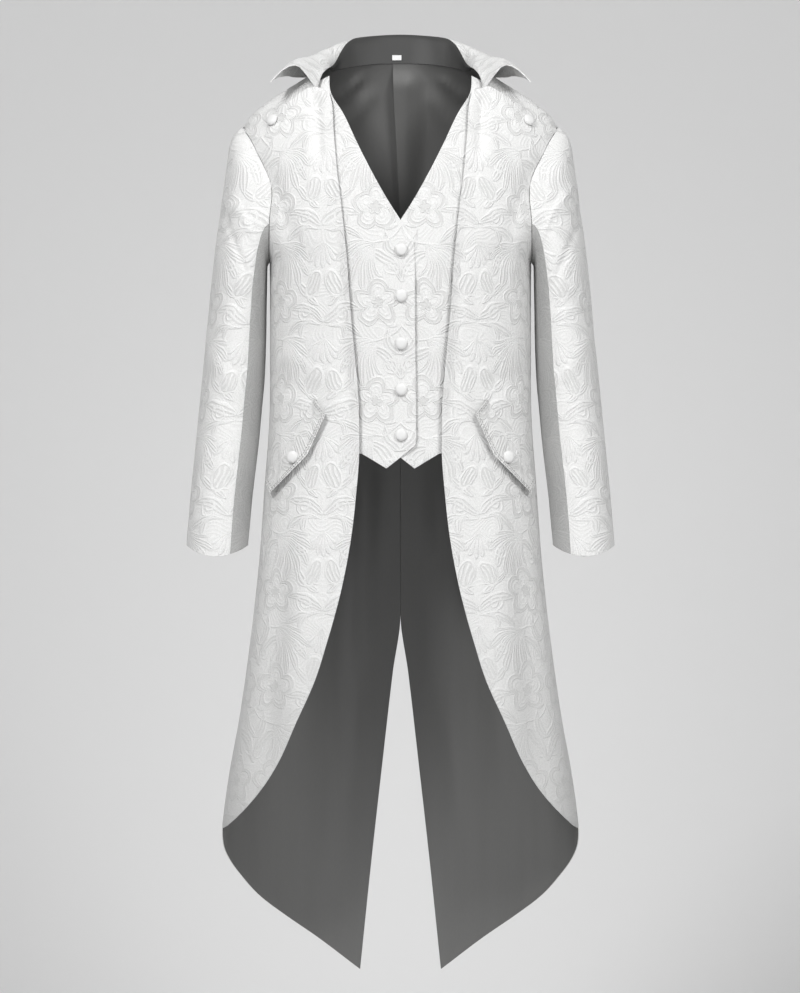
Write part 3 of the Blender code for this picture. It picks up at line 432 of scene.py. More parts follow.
# Pocket flap: its sewn edge and its free edge, from the upper end to the lower one
FLAP = table("share sewn_x sewn_z free_x free_z", (
    (0.0, 0.1178, -0.4266, 0.0998, -0.4491),
    (0.45, 0.1475, -0.478, 0.1245, -0.5055),
    (1.0, 0.1835, -0.5385, 0.1735, -0.558),
))
FLAP_LIFT = 0.0016
FLAP_CLOTH = 0.0012
FLAP_PROUD = 0.0085      # how far the free edge stands off
FLAP_END = 0.12          # share of the flap whose ends stand off too, and how much of that
FLAP_END_SHARE = 0.8
FLAP_END_RISE = 0.3      # share of its width over which they rise
FLAP_CURVE = 1.5         # how it bends from its seam to its free edge, where 1 is straight
FLAP_BUTTON = (0.1437, -0.5080)
FLAP_BUTTON_RISE = 0.0068
SHOULDER_BUTTON = (0.1771, -0.0410)

FACING_ROW = 0.5         # share of the collar's rows that the facing covers
FACING_LIFT = SEAM + LINING + 0.0001
SEAM_RISE = (0.80, 1.40)     # lift of the collar off its seam, in walls of cloth, behind and in front
SEAM_RISE_STEP = (0.75, 0.25)    # where along the neck it changes, and over what length

# %% [markdown]
# ## Folds
# Worn cloth is never a smooth tube. Each fold here is one row: where it starts and ends, how wide it is,
# and how deep it sinks or how high it stands. They are uneven on purpose, left and right differ, and the
# back has its own, because the coat is seen from all sides. A fold fades out at both ends and before the
# side and shoulder seams.

# %% The folds of the body
FRONT = -1
BACK = 1
WITHIN = 0
FOLDS = table("face from_x from_z to_x to_z width height", (
    # under the collar's ends, where the fronts hang from the yoke
    (FRONT, 0.115, 0.02, 0.109, -0.11, 0.0055, -0.0048),
    (FRONT, -0.118, 0.022, -0.112, -0.12, 0.006, -0.005),
    (FRONT, 0.126, 0.005, 0.123, -0.13, 0.009, 0.0008),
    (FRONT, -0.131, 0.005, -0.125, -0.145, 0.0085, 0.0009),
    # beside the front's edge, which rolls a little outwards
    (FRONT, 0.085, -0.18, 0.064, -0.52, 0.005, -0.003),
    (FRONT, -0.086, -0.19, -0.064, -0.53, 0.0055, -0.003),
    # from the armholes down to the chest
    (FRONT, 0.19, -0.09, 0.148, -0.21, 0.011, -0.0034),
    (FRONT, -0.188, -0.1, -0.144, -0.225, 0.012, -0.0036),
    (FRONT, 0.183, -0.15, 0.15, -0.27, 0.013, 0.0026),
    (FRONT, -0.185, -0.145, -0.156, -0.26, 0.012, 0.0024),
    # across the waist
    (FRONT, 0.188, -0.395, 0.102, -0.41, 0.013, -0.0026),
    (FRONT, -0.188, -0.405, -0.096, -0.42, 0.014, -0.0028),
    (FRONT, 0.188, -0.44, 0.125, -0.43, 0.011, 0.0018),
    (FRONT, -0.188, -0.365, -0.122, -0.378, 0.011, 0.002),
    # down the skirt
    (FRONT, 0.125, -0.5, 0.15, -0.96, 0.022, 0.0055),
    (FRONT, -0.12, -0.52, -0.156, -0.94, 0.024, 0.006),
    (FRONT, 0.165, -0.56, 0.202, -1.02, 0.02, -0.006),
    (FRONT, -0.16, -0.58, -0.196, -1.0, 0.021, -0.0055),
    # the back: from the blades, at the waist and down the tails
    (BACK, 0.145, -0.04, 0.11, -0.26, 0.02, -0.0045),
    (BACK, -0.138, -0.05, -0.118, -0.28, 0.022, -0.0042),
    (BACK, 0.175, -0.12, 0.135, -0.26, 0.015, 0.0036),
    (BACK, -0.172, -0.11, -0.14, -0.24, 0.014, 0.0034),
    (BACK, 0.03, -0.02, 0.026, -0.24, 0.024, 0.0022),
    (BACK, -0.034, -0.03, -0.028, -0.22, 0.025, 0.002),
    (BACK, 0.18, -0.385, 0.035, -0.41, 0.015, -0.0036),
    (BACK, -0.18, -0.395, -0.045, -0.405, 0.014, -0.0034),
    (BACK, 0.18, -0.43, 0.07, -0.445, 0.012, 0.0022),
    (BACK, -0.18, -0.35, -0.08, -0.365, 0.013, -0.002),
    (BACK, 0.05, -0.52, 0.105, -1.16, 0.03, 0.008),
    (BACK, -0.055, -0.54, -0.098, -1.16, 0.031, 0.0075),
    (BACK, 0.105, -0.56, 0.175, -1.08, 0.026, -0.008),
    (BACK, -0.112, -0.53, -0.168, -1.09, 0.025, -0.0075),
    (BACK, 0.155, -0.6, 0.225, -1.04, 0.024, 0.006),
    (BACK, -0.15, -0.62, -0.22, -1.03, 0.023, 0.006),
    # the lining's own folds, inwards, where it hangs from the collar and along its pleat
    (WITHIN, -0.102, -0.01, -0.05, 0.042, 0.006, -0.006),
    (WITHIN, 0.099, -0.006, 0.052, 0.04, 0.0065, -0.0055),
    (WITHIN, -0.09, -0.05, -0.03, 0.025, 0.009, -0.004),
    (WITHIN, 0.086, -0.06, 0.035, 0.02, 0.009, -0.0035),
    (WITHIN, -0.045, -0.45, -0.062, -0.86, 0.018, -0.005),
    (WITHIN, 0.05, -0.48, 0.07, -0.89, 0.019, -0.005),
))
FOLD_SEAM_POWER = 10         # how late a fold fades on its way to the side seam
FOLD_RIDGE = 0.050           # and over what length it fades below the shoulder ridge
FOLD_FADE = 0.3              # share of its own length over which it fades at each end


def fold_height(x, z, face):
    """How far the folds move the cloth out at x, z."""
    height = np.zeros(np.broadcast(x, z).shape)
    for fold in FOLDS:
        if fold.face == face:
            run = np.array([fold.to_x - fold.from_x, fold.to_z - fold.from_z])
            length = np.hypot(*run)
            along = ((x - fold.from_x) * run[0] + (z - fold.from_z) * run[1]) / length ** 2
            beside = ((x - fold.from_x) * run[1] - (z - fold.from_z) * run[0]) / length
            fade = ease(along / FOLD_FADE) * ease((1 - along) / FOLD_FADE)
            height += fold.height * fade * np.exp(-(beside / fold.width) ** 2)
    return height


print("folds", len(FOLDS), "deepest", min(fold.height for fold in FOLDS))

# %% The body's surface
half_width = table_line(SECTIONS, "level", "half_width")
depth_line = {FRONT: table_line(SECTIONS, "level", "front_depth"),
              BACK: table_line(SECTIONS, "level", "back_depth")}
ridge_height = table_line(RIDGE, "x", "z")
armhole_x = table_line(ARMHOLE, "level", "x")
front_edge_x = table_line(FRONT_EDGE, "z", "x")
front_top_z = table_line(FRONT_TOP, "x", "z")
back_neck_z = table_line(BACK_NECK, "x", "z")
vent_x = table_line(VENT, "level", "x")
hem_level = table_line(HEM, "share", "level")


def body_place(angle, level, face):
    """Point of the coat's outer surface on its FRONT or BACK. angle runs from 0 at the middle to a quarter
    turn at the side."""
    climb = np.clip(level / DOME, 0, None) * pi / 2
    x = half_width(level) * np.sin(angle)
    roof = ridge_height(np.abs(x)) - CHEST
    z = CHEST + np.where(level < 0, level, roof * np.sin(climb))
    across = np.minimum(np.abs(np.sin(angle)), 1)
    around = np.sign(np.cos(angle)) * (1 - across ** SQUARENESS) ** (1 / SQUARENESS)
    over = np.sign(np.cos(climb)) * np.abs(np.cos(climb)) ** ROOF
    y = face * depth_line[face](level) * around * over
    return np.stack([x, y, z], axis=-1)


def body(angle, level, face, side, lift=0.0):
    """Point of the surface moved out by lift, on the wearer's left (side 1) or right (side -1)."""
    angle, level, lift = np.broadcast_arrays(angle, level, lift)
    near = 1e-4
    place = body_place(angle, level, face)
    around = body_place(angle + near, level, face) - body_place(angle - near, level, face)
    upward = body_place(angle, level + near, face) - body_place(angle, level - near, face)
    normal = np.cross(around, upward)
    normal /= np.linalg.norm(normal, axis=-1, keepdims=True)
    middle = np.stack([0 * angle, 0 * angle, np.minimum(place[..., 2], CHEST)], axis=-1)
    outward = np.sign(np.sum(normal * (place - middle), axis=-1, keepdims=True))
    fade = (1 - np.abs(np.sin(angle)) ** FOLD_SEAM_POWER) * ease((DOME - level) / FOLD_RIDGE)
    lift = lift + fade * fold_height(side * place[..., 0], place[..., 2], face)
    place = place + normal * outward * lift[..., None]
    place[..., 1] += face * SEAM / 2
    place[..., 0] *= side
    return place


def level_at(x, z):
    """Level of the point of the surface that is seen at x, z from the front."""
    share = np.clip((z - CHEST) / (ridge_height(np.abs(x)) - CHEST), 0, 1)
    return np.where(z < CHEST, z - CHEST, DOME * np.arcsin(share) * 2 / pi)


def angle_at(x, level):
    return np.arcsin(np.clip(x / half_width(level), -1, 1))


def seen(x, z, side, face=FRONT, lift=0.0):
    """Point of the surface that is seen at x, z from the front or the back."""
    level = level_at(x, z)
    return body(angle_at(x, level), level, face, side, lift)


print("half width at the waist", round(float(half_width(-0.255)), 3))

# %% Where each panel lies
def outer_angle(level):
    """Angle of the panel's outer border: the side seam, then the armhole."""
    return np.where(level <= UNDERARM, pi / 2, angle_at(armhole_x(level), level))


def rise_to(top, level, highest):
    """Level of a row in a column that ends at top, where the armhole's own row is at level."""
    return np.where(level < BEND, level, BEND + (top - BEND) * (level - BEND) / (highest - BEND))


# Panels: each function returns one that places the points of a panel, lifted off its own surface

def front_panel(side):
    corner_x = front_edge_x(0.0)
    corner = level_at(corner_x, front_top_z(corner_x))
    corner_angle = angle_at(corner_x, corner)
    shoulder_angle = outer_angle(FRONT_LEVEL)

    def place(u, level, lift):
        top_x = half_width(FRONT_LEVEL) * np.sin(mix(corner_angle, shoulder_angle, u))
        top = mix(level_at(top_x, front_top_z(top_x)), FRONT_LEVEL, ease((u - TIP_SHARE) / (1 - TIP_SHARE)))
        edge_level = rise_to(corner, level, FRONT_LEVEL)
        edge_z = body_place(corner_angle, edge_level, FRONT)[..., 2]
        inner = angle_at(front_edge_x(edge_z), edge_level)
        row = rise_to(top, level, FRONT_LEVEL)
        loose = ease((row - top + LOOSE_DEPTH) / LOOSE_DEPTH)
        loose = loose * grow(u, *LOOSE_STARTS) * (1 - grow(u, *LOOSE_ENDS))
        near_edge = 1 - ease(u / EDGE_SHARE)
        proud = np.interp(row + CHEST, EDGE_HEIGHTS, EDGE_PROUD) * near_edge
        return body(mix(inner, outer_angle(level), u), row, FRONT, side, lift + LOOSE_LIFT * loose + proud)

    return place


def back_panel(side, base=0.0, inset=0.0, pleat=False):
    """The back down to the tail's hem. A pleat moves the first column across the middle."""
    shoulder_angle = outer_angle(DOME)

    def place(u, level, lift):
        top_x = half_width(NECK_LEVEL) * np.sin(u * shoulder_angle)
        top = np.where(top_x < NECK_POINT - 1e-4, level_at(top_x, back_neck_z(top_x)), DOME)
        low = mix(TAIL_ROUND, hem_level(u) + inset, (TAIL_ROUND - level) / (TAIL_ROUND - TAIL_TIP))
        row = np.where(level < TAIL_ROUND, low, rise_to(top, level, DOME))
        apart = (inset + SEAM / 2) * (1 - ease((row - VENT_TOP + SEAM_CLOSES) / SEAM_CLOSES))
        inner = angle_at(vent_x(row) + apart, row)
        border = outer_angle(level) - 2 * inset / half_width(level) * grow(level - UNDERARM, *BORDER_STEP)
        angle = mix(inner, border, u)
        raised = base + lift
        if pleat:
            open_share = ease((row - PLEAT_END) / PLEAT_OPENS)
            over = (SEAM / 2 - PLEAT_WIDTH * open_share) / half_width(row)
            angle = np.where((u < 0.001) & (row > PLEAT_END), over, angle)
            ends = ease((row - PLEAT_END + PLEAT_FOOT) / PLEAT_FOOT) * ease((PLEAT_TOP - row) / PLEAT_HEAD)
            raised = raised - PLEAT_LIFT * ends * (1 - ease(u / PLEAT_SHARE))
        if base:
            spot = body_place(angle, row, BACK)
            raised = raised + fold_height(side * spot[..., 0], spot[..., 2], WITHIN)
        return body(angle, row, BACK, side, raised)

    return place


def yoke_place(u, share, side, lift):
    """Share runs from the shoulder ridge to the hidden edge, and YOKE_SEEN of it shows."""
    line_x = mix(YOKE_CORNER, half_width(FRONT_LEVEL) * np.sin(outer_angle(FRONT_LEVEL)), u)
    line = level_at(line_x, front_top_z(line_x))
    hidden = line - YOKE_UNDER
    x = mix(mix(NECK_POINT, SHOULDER_TIP, u), line_x, share / YOKE_SEEN)
    level = np.where(share < YOKE_SEEN, mix(DOME, line, share / YOKE_SEEN),
                     mix(line, hidden, (share - YOKE_SEEN) / (1 - YOKE_SEEN)))
    angle = mix(angle_at(x, level), outer_angle(level), grow(u, *YOKE_SIDE))
    return body(angle, level, FRONT, side, lift + YOKE_LIFT * ease(share / YOKE_SINKS))


def yoke_panel(side):
    return lambda u, share, lift: yoke_place(u, share, side, lift)


def vest_panel(side, over):
    """Waistcoat front. over is True for the front that lies on the other one."""
    hem_shares = [row.share for row in VEST_HEM]
    hem_heights = [row.z for row in VEST_HEM]
    edge_levels = level_at(np.array([row.x for row in VEST_EDGE]), np.array([row.z for row in VEST_EDGE]))
    edge_x = smooth_line(edge_levels, [row.x for row in VEST_EDGE])
    coat_levels = level_at(np.array([row.x for row in FRONT_EDGE]), np.array([row.z for row in FRONT_EDGE]))
    coat_x = smooth_line(coat_levels, [row.x for row in FRONT_EDGE])

    def place(u, share, lift):
        low = mix(np.interp(u, hem_shares, hem_heights) - CHEST, VEST_STRAIGHT, share / VEST_LOW)
        high = mix(VEST_STRAIGHT, VEST_TOP, (share - VEST_LOW) / (1 - VEST_LOW))
        level = np.where(share < VEST_LOW, low, high)
        armhole = np.where(level > UNDERARM, armhole_x(level), half_width(level))
        x = mix(edge_x(level), np.minimum(coat_x(level) + VEST_HIDDEN, armhole - VEST_ARMHOLE), u)
        sewn = grow(u, *VEST_SEWN_SHARE) * (1 - grow(level, *VEST_SEWN_STEP))
        base = mix(mix(VEST_LIFT, VEST_NECK, grow(level, *VEST_NECK_STEP)), VEST_SEWN, sewn)
        if over:
            base = mix(VEST_OVER, base, grow(x, VEST_LAPS[0], VEST_LAPS[1] - VEST_LAPS[0]))
            near_edge = 1 - grow(x, edge_x(level), VEST_PROUD_WIDTH)
            base = base + VEST_PROUD * near_edge * grow(-level, *VEST_PROUD_STEP)
        return body(angle_at(x, level), level, FRONT, side, base + lift)

    return place


def flap_panel(side):
    def place(u, share, lift):
        shares = [row.share for row in FLAP]
        sewn_x, sewn_z, free_x, free_z = (np.interp(u, shares, column) for column in list(zip(*FLAP))[1:])
        x = mix(sewn_x, free_x, share)
        z = mix(sewn_z, free_z, share)
        near_end = 1 - ease(np.minimum(u, 1 - u) / FLAP_END)
        stand = np.maximum(share ** FLAP_CURVE, FLAP_END_SHARE * near_end * ease(share / FLAP_END_RISE))
        return seen(x, z, side, FRONT, FLAP_LIFT + FLAP_PROUD * stand + lift)

    return place


# Sleeves

def armhole_height(level):
    return body_place(outer_angle(level), level, FRONT)[..., 2]


def armhole_turn(level):
    """Turn round the armhole from the shoulder tip down to a level on it."""
    share = (armhole_height(level) - RINGS[0].inner_z) / (RINGS[0].outer_z - RINGS[0].inner_z)
    return np.arccos(np.clip(2 * share - 1, -1, 1))


def armhole_place(turn, side):
    """Point of the armhole for a turn round it from the shoulder tip, down the front and then up the back."""
    levels = np.linspace(UNDERARM, DOME, ARMHOLE_SAMPLES)
    wanted = mix(RINGS[0].inner_z, RINGS[0].outer_z, (1 + np.cos(turn)) / 2)
    level = np.interp(wanted, armhole_height(levels), levels)
    front = body(outer_angle(level), level, FRONT, side)
    back = body(outer_angle(level), level, BACK, side)
    place = np.where((np.sin(turn) >= 0)[..., None], front, back)
    clear = SLEEVE_CLEAR + SLEEVE_CLEAR_TIP * np.maximum(np.cos(turn), 0) ** SLEEVE_TIP_POWER
    return place + clear[..., None] * np.array([side, 0.0, SLEEVE_DROP])


def plain_ring(turn, side, row):
    """Oval through a ring's outermost and innermost point."""
    share = (1 + np.cos(turn)) / 2
    x = mix(row["inner_x"], row["outer_x"], share) * side
    z = mix(row["inner_z"], row["outer_z"], share)
    return np.stack([x, row["forward"] - row["half_depth"] * np.sin(turn), z], axis=-1)


SLEEVE_LINES = {name: smooth_line(np.linspace(0, 1, len(RINGS)), [getattr(ring, name) for ring in RINGS])
                for name in RINGS[0]._fields}


def crease_height(turn, along, side):
    """How far the creases move the sleeve's cloth out."""
    height = 0 * turn
    for crease in CREASES:
        if crease.side == side:
            away = (turn - crease.turn + pi) % (2 * pi) - pi
            beside = along - crease.along - crease.slant * away
            near = np.exp(-(beside / crease.width) ** 2 - (away / crease.reach) ** 4)
            height = height + crease.height * near
    return height


def sleeve_place(turn, along, side):
    """Point of the sleeve: the armhole's shape at first, which fades into plain ovals further down."""
    row = {name: line(along) for name, line in SLEEVE_LINES.items()}
    crease = crease_height(turn, along, side)
    row["half_depth"] = row["half_depth"] + crease
    row["outer_x"] = row["outer_x"] + CREASE_OUTER * crease
    ring = plain_ring(turn, side, row)
    departure = armhole_place(turn, side) - plain_ring(turn, side, RINGS[0]._asdict())
    place = ring + departure * row["armhole_share"][..., None]
    place[..., 2] += grow(along, CUFF_START, 1 - CUFF_START) * (CUFF_RISE * np.cos(turn) ** 2 - CUFF_DIP)
    return place


def sleeve_panel(side):
    def place(turn, along, lift):
        near = 1e-3
        later = np.minimum(along + near, 1)
        around = sleeve_place(turn + near, along, side) - sleeve_place(turn - near, along, side)
        down = sleeve_place(turn, later, side) - sleeve_place(turn, later - near, side)
        normal = np.cross(around, down) * side
        normal /= np.linalg.norm(normal, axis=-1, keepdims=True)
        return sleeve_place(turn, along, side) + normal * lift[..., None]

    return place


# Collar

def neck_place(share):
    """Neck seam on the left: 0 at the centre back, 1 at the shoulder ridge, 2 at the yoke's hidden end."""
    x = NECK_POINT * np.minimum(share, 1)
    level = np.where(share < 0.999, level_at(x, back_neck_z(x)), DOME)
    behind = body(angle_at(x, level), level, BACK, 1, -CLOTH)
    ahead = yoke_place(0 * share, np.clip(share - 1, 0, 1), 1, -CLOTH)
    return np.where((share <= 1)[..., None], behind, ahead)


STATION_LINES = STATIONS[0]._fields[1:-1]


def station_line(name, axis):
    """Smooth line of one coordinate along the collar, from its front end on the right to that on the left."""
    mirror = -1 if axis == 0 else 1
    left = [(row.seam, getattr(row, name)[axis]) for row in STATIONS]
    right = [(-seam, mirror * value) for seam, value in reversed(left[1:])]
    return smooth_line(*zip(*(right + left)))


COLLAR_LINES = [[station_line(name, axis) for axis in range(3)] for name in STATION_LINES]
facing_share = smooth_line([row.seam for row in STATIONS], [row.facing_share for row in STATIONS])


def collar_surface(station, row):
    """Point of the collar's visible face. row runs from 0 at its seam through FACING_ROW, where the dark
    facing ends, to 1 at its free edge."""
    share = np.abs(station)
    ends = facing_share(share)
    outside = mix(ends, 1, (row - FACING_ROW) / (1 - FACING_ROW))
    across = np.where(row < FACING_ROW, ends * row / FACING_ROW, outside)
    seam = neck_place(share)
    seam[..., 2] += SEAM + CLOTH * mix(*SEAM_RISE, grow(share, *SEAM_RISE_STEP))
    seam[..., 0] *= np.where(station < 0, -1, 1)
    points = [seam] + [np.stack([line(station) for line in axes], axis=-1) for axes in COLLAR_LINES]
    return spline(np.stack(points), across * len(STATION_LINES))


def spline(points, where):
    """Catmull-Rom curve through rows of points, each column at its own place."""
    i = np.clip(np.floor(where).astype(int), 0, len(points) - 2)
    t = (where - i)[..., None]
    padded = np.concatenate([[2 * points[0] - points[1]], points, [2 * points[-1] - points[-2]]])
    column = np.arange(len(where))
    a, b, c, d = (padded[i + k, column] for k in range(4))
    return b + t * ((c - a) + t * ((2 * a - 5 * b + 4 * c - d) + t * (3 * (b - c) + d - a))) / 2


def collar_place(station, row, lift):
    """Point lifted off the collar's visible face, towards the neck at the stand and upwards on the fall."""
    near = 1e-3
    end = STATIONS[-1].seam
    later = np.minimum(station + near, end)
    earlier = np.maximum(station - near, -end)
    row_high = np.where((row < FACING_ROW) | (row >= 1), row, row + near)
    along = collar_surface(later, row) - collar_surface(earlier, row)
    over = collar_surface(station, row_high) - collar_surface(station, np.maximum(row_high - near, 0))
    start = collar_surface(station, near + 0 * row) - collar_surface(station, 0 * row)
    over = np.where((row <= 0)[..., None], start, over)
    normal = np.cross(along, over)
    normal /= np.linalg.norm(normal, axis=-1, keepdims=True)
    return collar_surface(station, row) + normal * lift[..., None]

print("collar lines", len(COLLAR_LINES))

# %% [markdown]
# ## From a flat piece to worn cloth
# Every panel starts as a flat grid, as cloth does. Its points are then moved to where the worn coat holds
# them, the grid is extruded once to give the cloth its thickness, and the flat measures are kept as a UV
# map in metres, so that the woven pattern keeps its size and stays upright on every piece.

# %% Cloth on a grid
MESH_STEP = 0.0065           # wanted size of a square of the grid
EDGE_ROUND = 0.00045         # the folded edge's radius
SHARP = radians(50)          # faces that meet at more than this look sharp
EDGE_SHARP = radians(55)     # and edges over this are rounded
FLAT_SAMPLES = 25            # points of a line over the body whose length is measured

def steps(length):
    return max(2, int(round(length / MESH_STEP)))


def finer(marks, size):
    """The marks with even steps between them, where size is the real length of the whole run."""
    marks = np.asarray(marks, float)
    whole = abs(marks[-1] - marks[0])
    runs = [np.linspace(a, b, steps(abs(b - a) / whole * size) + 1)[:-1] for a, b in zip(marks, marks[1:])]
    return np.append(np.concatenate(runs), marks[-1])


def show(name, bm, materials):
    mesh = bpy.data.meshes.new(name)
    bm.to_mesh(mesh)
    bm.free()
    mesh.shade_smooth()
    mesh.set_sharp_from_angle(angle=SHARP)
    for finish in materials:
        mesh.materials.append(finish)
    made = bpy.data.objects.new(name, mesh)
    bpy.context.scene.collection.objects.link(made)
    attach(made, "root")
    return made


def grid_lengths(points, columns, rows):
    """Flat measures of a grid of points: mean lengths of its columns and rows, summed up."""
    grid = points.reshape(rows, columns, 3)
    across = np.linalg.norm(np.diff(grid, axis=1), axis=-1).mean(axis=0)
    along = np.linalg.norm(np.diff(grid, axis=0), axis=-1).mean(axis=1)
    u = np.append(0, np.cumsum(across))
    v = np.append(0, np.cumsum(along))
    return np.stack(np.meshgrid(u, v), axis=-1).reshape(-1, 2)


def cloth(name, across, along, place, materials, lift=0.0, thickness=CLOTH, flat=None, start=(0.0, 0.0)):
    """A piece of cloth on a grid. place gives its points, flat the same points' place on the uncut cloth."""
    bm = bmesh.new()
    bmesh.ops.create_grid(bm, x_segments=len(across) - 1, y_segments=len(along) - 1, size=1)
    number = bm.verts.layers.int.new("number")
    share = np.array([(vert.co.x + 1, vert.co.y + 1) for vert in bm.verts]) / 2
    i = np.rint(share[:, 0] * (len(across) - 1)).astype(int)
    j = np.rint(share[:, 1] * (len(along) - 1)).astype(int)
    for k, vert in enumerate(bm.verts):
        vert[number] = k
    column = np.asarray(across, float)[i]
    row = np.asarray(along, float)[j]
    visible = place(column, row, np.full(len(row), lift))
    hidden = place(column, row, np.full(len(row), lift - thickness))
    if flat is None:
        order = np.lexsort((i, j))
        measured = grid_lengths(visible[order], len(across), len(along))
        uv = np.empty((len(row), 2))
        uv[order] = measured + np.array(start)
    else:
        uv = flat(visible)
    copied = bmesh.ops.extrude_face_region(bm, geom=bm.faces[:], use_keep_orig=True)["geom"]
    inner = {item for item in copied if isinstance(item, bmesh.types.BMVert)}
    for vert in bm.verts:
        vert.co = hidden[vert[number]] if vert in inner else visible[vert[number]]
    bmesh.ops.recalc_face_normals(bm, faces=bm.faces[:])
    layer = bm.loops.layers.uv.new("cloth")
    for face in bm.faces:
        face.material_index = int(all(vert in inner for vert in face.verts))
        for loop in face.loops:
            loop[layer].uv = uv[loop.vert[number]]
    bm.verts.layers.int.remove(number)
    bmesh.ops.dissolve_degenerate(bm, dist=2 * EDGE_ROUND / 3, edges=bm.edges[:])
    made = show(name, bm, materials)
    rounding = made.modifiers.new("folded edge", "BEVEL")
    rounding.width = EDGE_ROUND
    rounding.segments = 2
    rounding.limit_method = "ANGLE"
    rounding.angle_limit = EDGE_SHARP
    print(name, len(made.data.polygons), "faces")
    return made


def body_flat(face):
    """Flat measures on the body: across from the middle line, and up from the chest line."""
    def flat(points):
        x, _, z = points.T
        level = level_at(x, z)
        angle = angle_at(np.abs(x), level)
        shares = np.linspace(0, 1, FLAT_SAMPLES)[:, None]
        row = body_place(angle * shares, level + 0 * shares, face)
        column = body_place(angle + 0 * shares, level * shares, face)
        u = np.sign(x) * np.linalg.norm(np.diff(row, axis=0), axis=-1).sum(axis=0)
        v = np.sign(level) * np.linalg.norm(np.diff(column, axis=0), axis=-1).sum(axis=0)
        return np.stack([u, v], axis=-1)

    return flat


# Middle line of the sleeve for its flat measures, and the radius that they are rolled round
SLEEVE_MIDDLE = table("z x", (
    (-0.6400, 0.2555), (-0.4000, 0.2360), (-0.2500, 0.2120),
    (-0.1400, 0.1850), (-0.0500, 0.1600),
))
SLEEVE_RADIUS = 0.060


def sleeve_flat(side, part):
    """Flat measures on a sleeve: round it from its outer or its inner line, and up from the chest line."""
    facing = 1 if part == "top" else -1
    middle_x = table_line(SLEEVE_MIDDLE, "z", "x")

    def flat(points):
        x, y, z = points.T
        turn = np.arctan2(-y * side, facing * (side * x - middle_x(z)))
        return np.stack([SLEEVE_RADIUS * turn, z - CHEST], axis=-1)

    return flat


print("one square of the grid:", MESH_STEP * 1000, "mm")

# %% [markdown]
# ## Working with values in a node tree
# A woven figure is drawn here with plain formulas, as a designer draws one with compasses and curves. Each
# formula gives the distance to an outline. Math nodes are clumsy to write one by one, so this small class
# lets Python's own signs add them.

# %% Values in a node tree
class Value:
    """A number that changes over the surface, kept as the output of a node."""

    def __init__(self, tree, socket):
        self.tree = tree
        self.socket = socket

    def using(self, operation, *others, first=None):
        node = self.tree.nodes.new("ShaderNodeMath")
        node.operation = operation
        for slot, value in zip(node.inputs, (self if first is None else first, *others)):
            if isinstance(value, Value):
                self.tree.links.new(value.socket, slot)
            else:
                slot.default_value = value
        return Value(self.tree, node.outputs[0])

    def __add__(self, other):
        return self.using("ADD", other)

    def __sub__(self, other):
        return self.using("SUBTRACT", other)

    def __rsub__(self, other):
        return self.using("SUBTRACT", self, first=other)

    def __mul__(self, other):
        return self.using("MULTIPLY", other)

    def __truediv__(self, other):
        return self.using("DIVIDE", other)

    def __pow__(self, other):
        return self.using("POWER", other)

    def __neg__(self):
        return self.using("MULTIPLY", -1)

    def __abs__(self):
        return self.using("ABSOLUTE")

    def least(self, other):
        return self.using("MINIMUM", other)

    def most(self, other):
        return self.using("MAXIMUM", other)

    def fade(self, start, end):
        """1 up to start and 0 from end on, with a soft change between them."""
        node = self.tree.nodes.new("ShaderNodeMapRange")
        node.interpolation_type = "SMOOTHSTEP"
        self.tree.links.new(self.socket, node.inputs["Value"])
        for name, value in (("From Min", start), ("From Max", end), ("To Min", 1), ("To Max", 0)):
            node.inputs[name].default_value = value
        return Value(self.tree, node.outputs["Result"])


def length(a, b):
    return (a * a + b * b) ** 0.5


print("values can be added, scaled and compared")

# %% [markdown]
# ## The brocade's figure
# Brocade is woven on a loom that repeats one figure across the whole width. This one has an open flower
# with a scalloped rim, fans of plumes, bent leaves, tendrils and a bud, all common in white-on-white cloth.
# It repeats up the cloth and is mirrored across it. Each motif is a row in a table: its place in the
# repeat, turn and size.

# %% The motifs
REPEAT_WIDTH = 0.108         # half of the mirrored repeat
REPEAT_HEIGHT = 0.133
# A motif's place, its turn in degrees, its length and half width, and how much it bends or curls to one side
MOTIFS = table("kind x y turn length width bend", (
    ("leaf", 0.108, 0.012, 165, 0.062, 0.0085, -0.010),
    ("leaf", 0.000, 0.066, 34, 0.072, 0.0090, 0.016),
    ("leaf", 0.000, 0.098, 62, 0.044, 0.0080, -0.007),
    ("stem", 0.046, 0.118, 150, 0.058, 0.0004, 0.010),
    ("leaf", 0.066, 0.066, -28, 0.040, 0.0060, -0.006),
    ("leaf", 0.101, 0.035, 118, 0.030, 0.0055, 0.005),
    ("fan", 0.036, 0.117, -30, 0.066, 0.0000, 8.0),
    ("leaf", 0.052, 0.122, 18, 0.056, 0.0060, 0.009),
    ("fan", 0.108, 0.121, -90, 0.037, 0.0000, 0.0),
    ("curl", 0.012, 0.083, 40, 0.0100, 0.0003, 0.0),
    ("curl", 0.082, 0.022, -60, 0.0110, 0.0003, 0.0),
    ("curl", 0.072, 0.093, 130, 0.0090, 0.0003, 0.0),
    ("leaf", 0.076, 0.118, 62, 0.030, 0.0050, 0.005),
    ("leaf", 0.006, 0.008, 20, 0.026, 0.0045, -0.004),
    ("bud", 0.093, 0.062, 66, 0.0180, 0.0105, 0.0),
    ("flower", 0.033, 0.036, 18, 0.0330, 0.0000, 0.0),
))
PLUMES = 6
PLUME_ANGLE = radians(17)
PETALS = 5
VEIN_STEP = 0.0050           # between the lines inside a leaf
VEIN_REACH = 0.75            # share of the leaf that has them
LEAF_SWELL = 2.6             # makes its widest place as wide as the table says
LEAF_SHRINK = 0.0009         # room for the cord of its outline
RIB_STEP = 0.0052            # between the ribs of a bud
BAND = 0.20                  # widths of the flower's rim and of the ring inside it, as shares of its radius
RING = 0.17
STAMEN_PLACE = 0.40
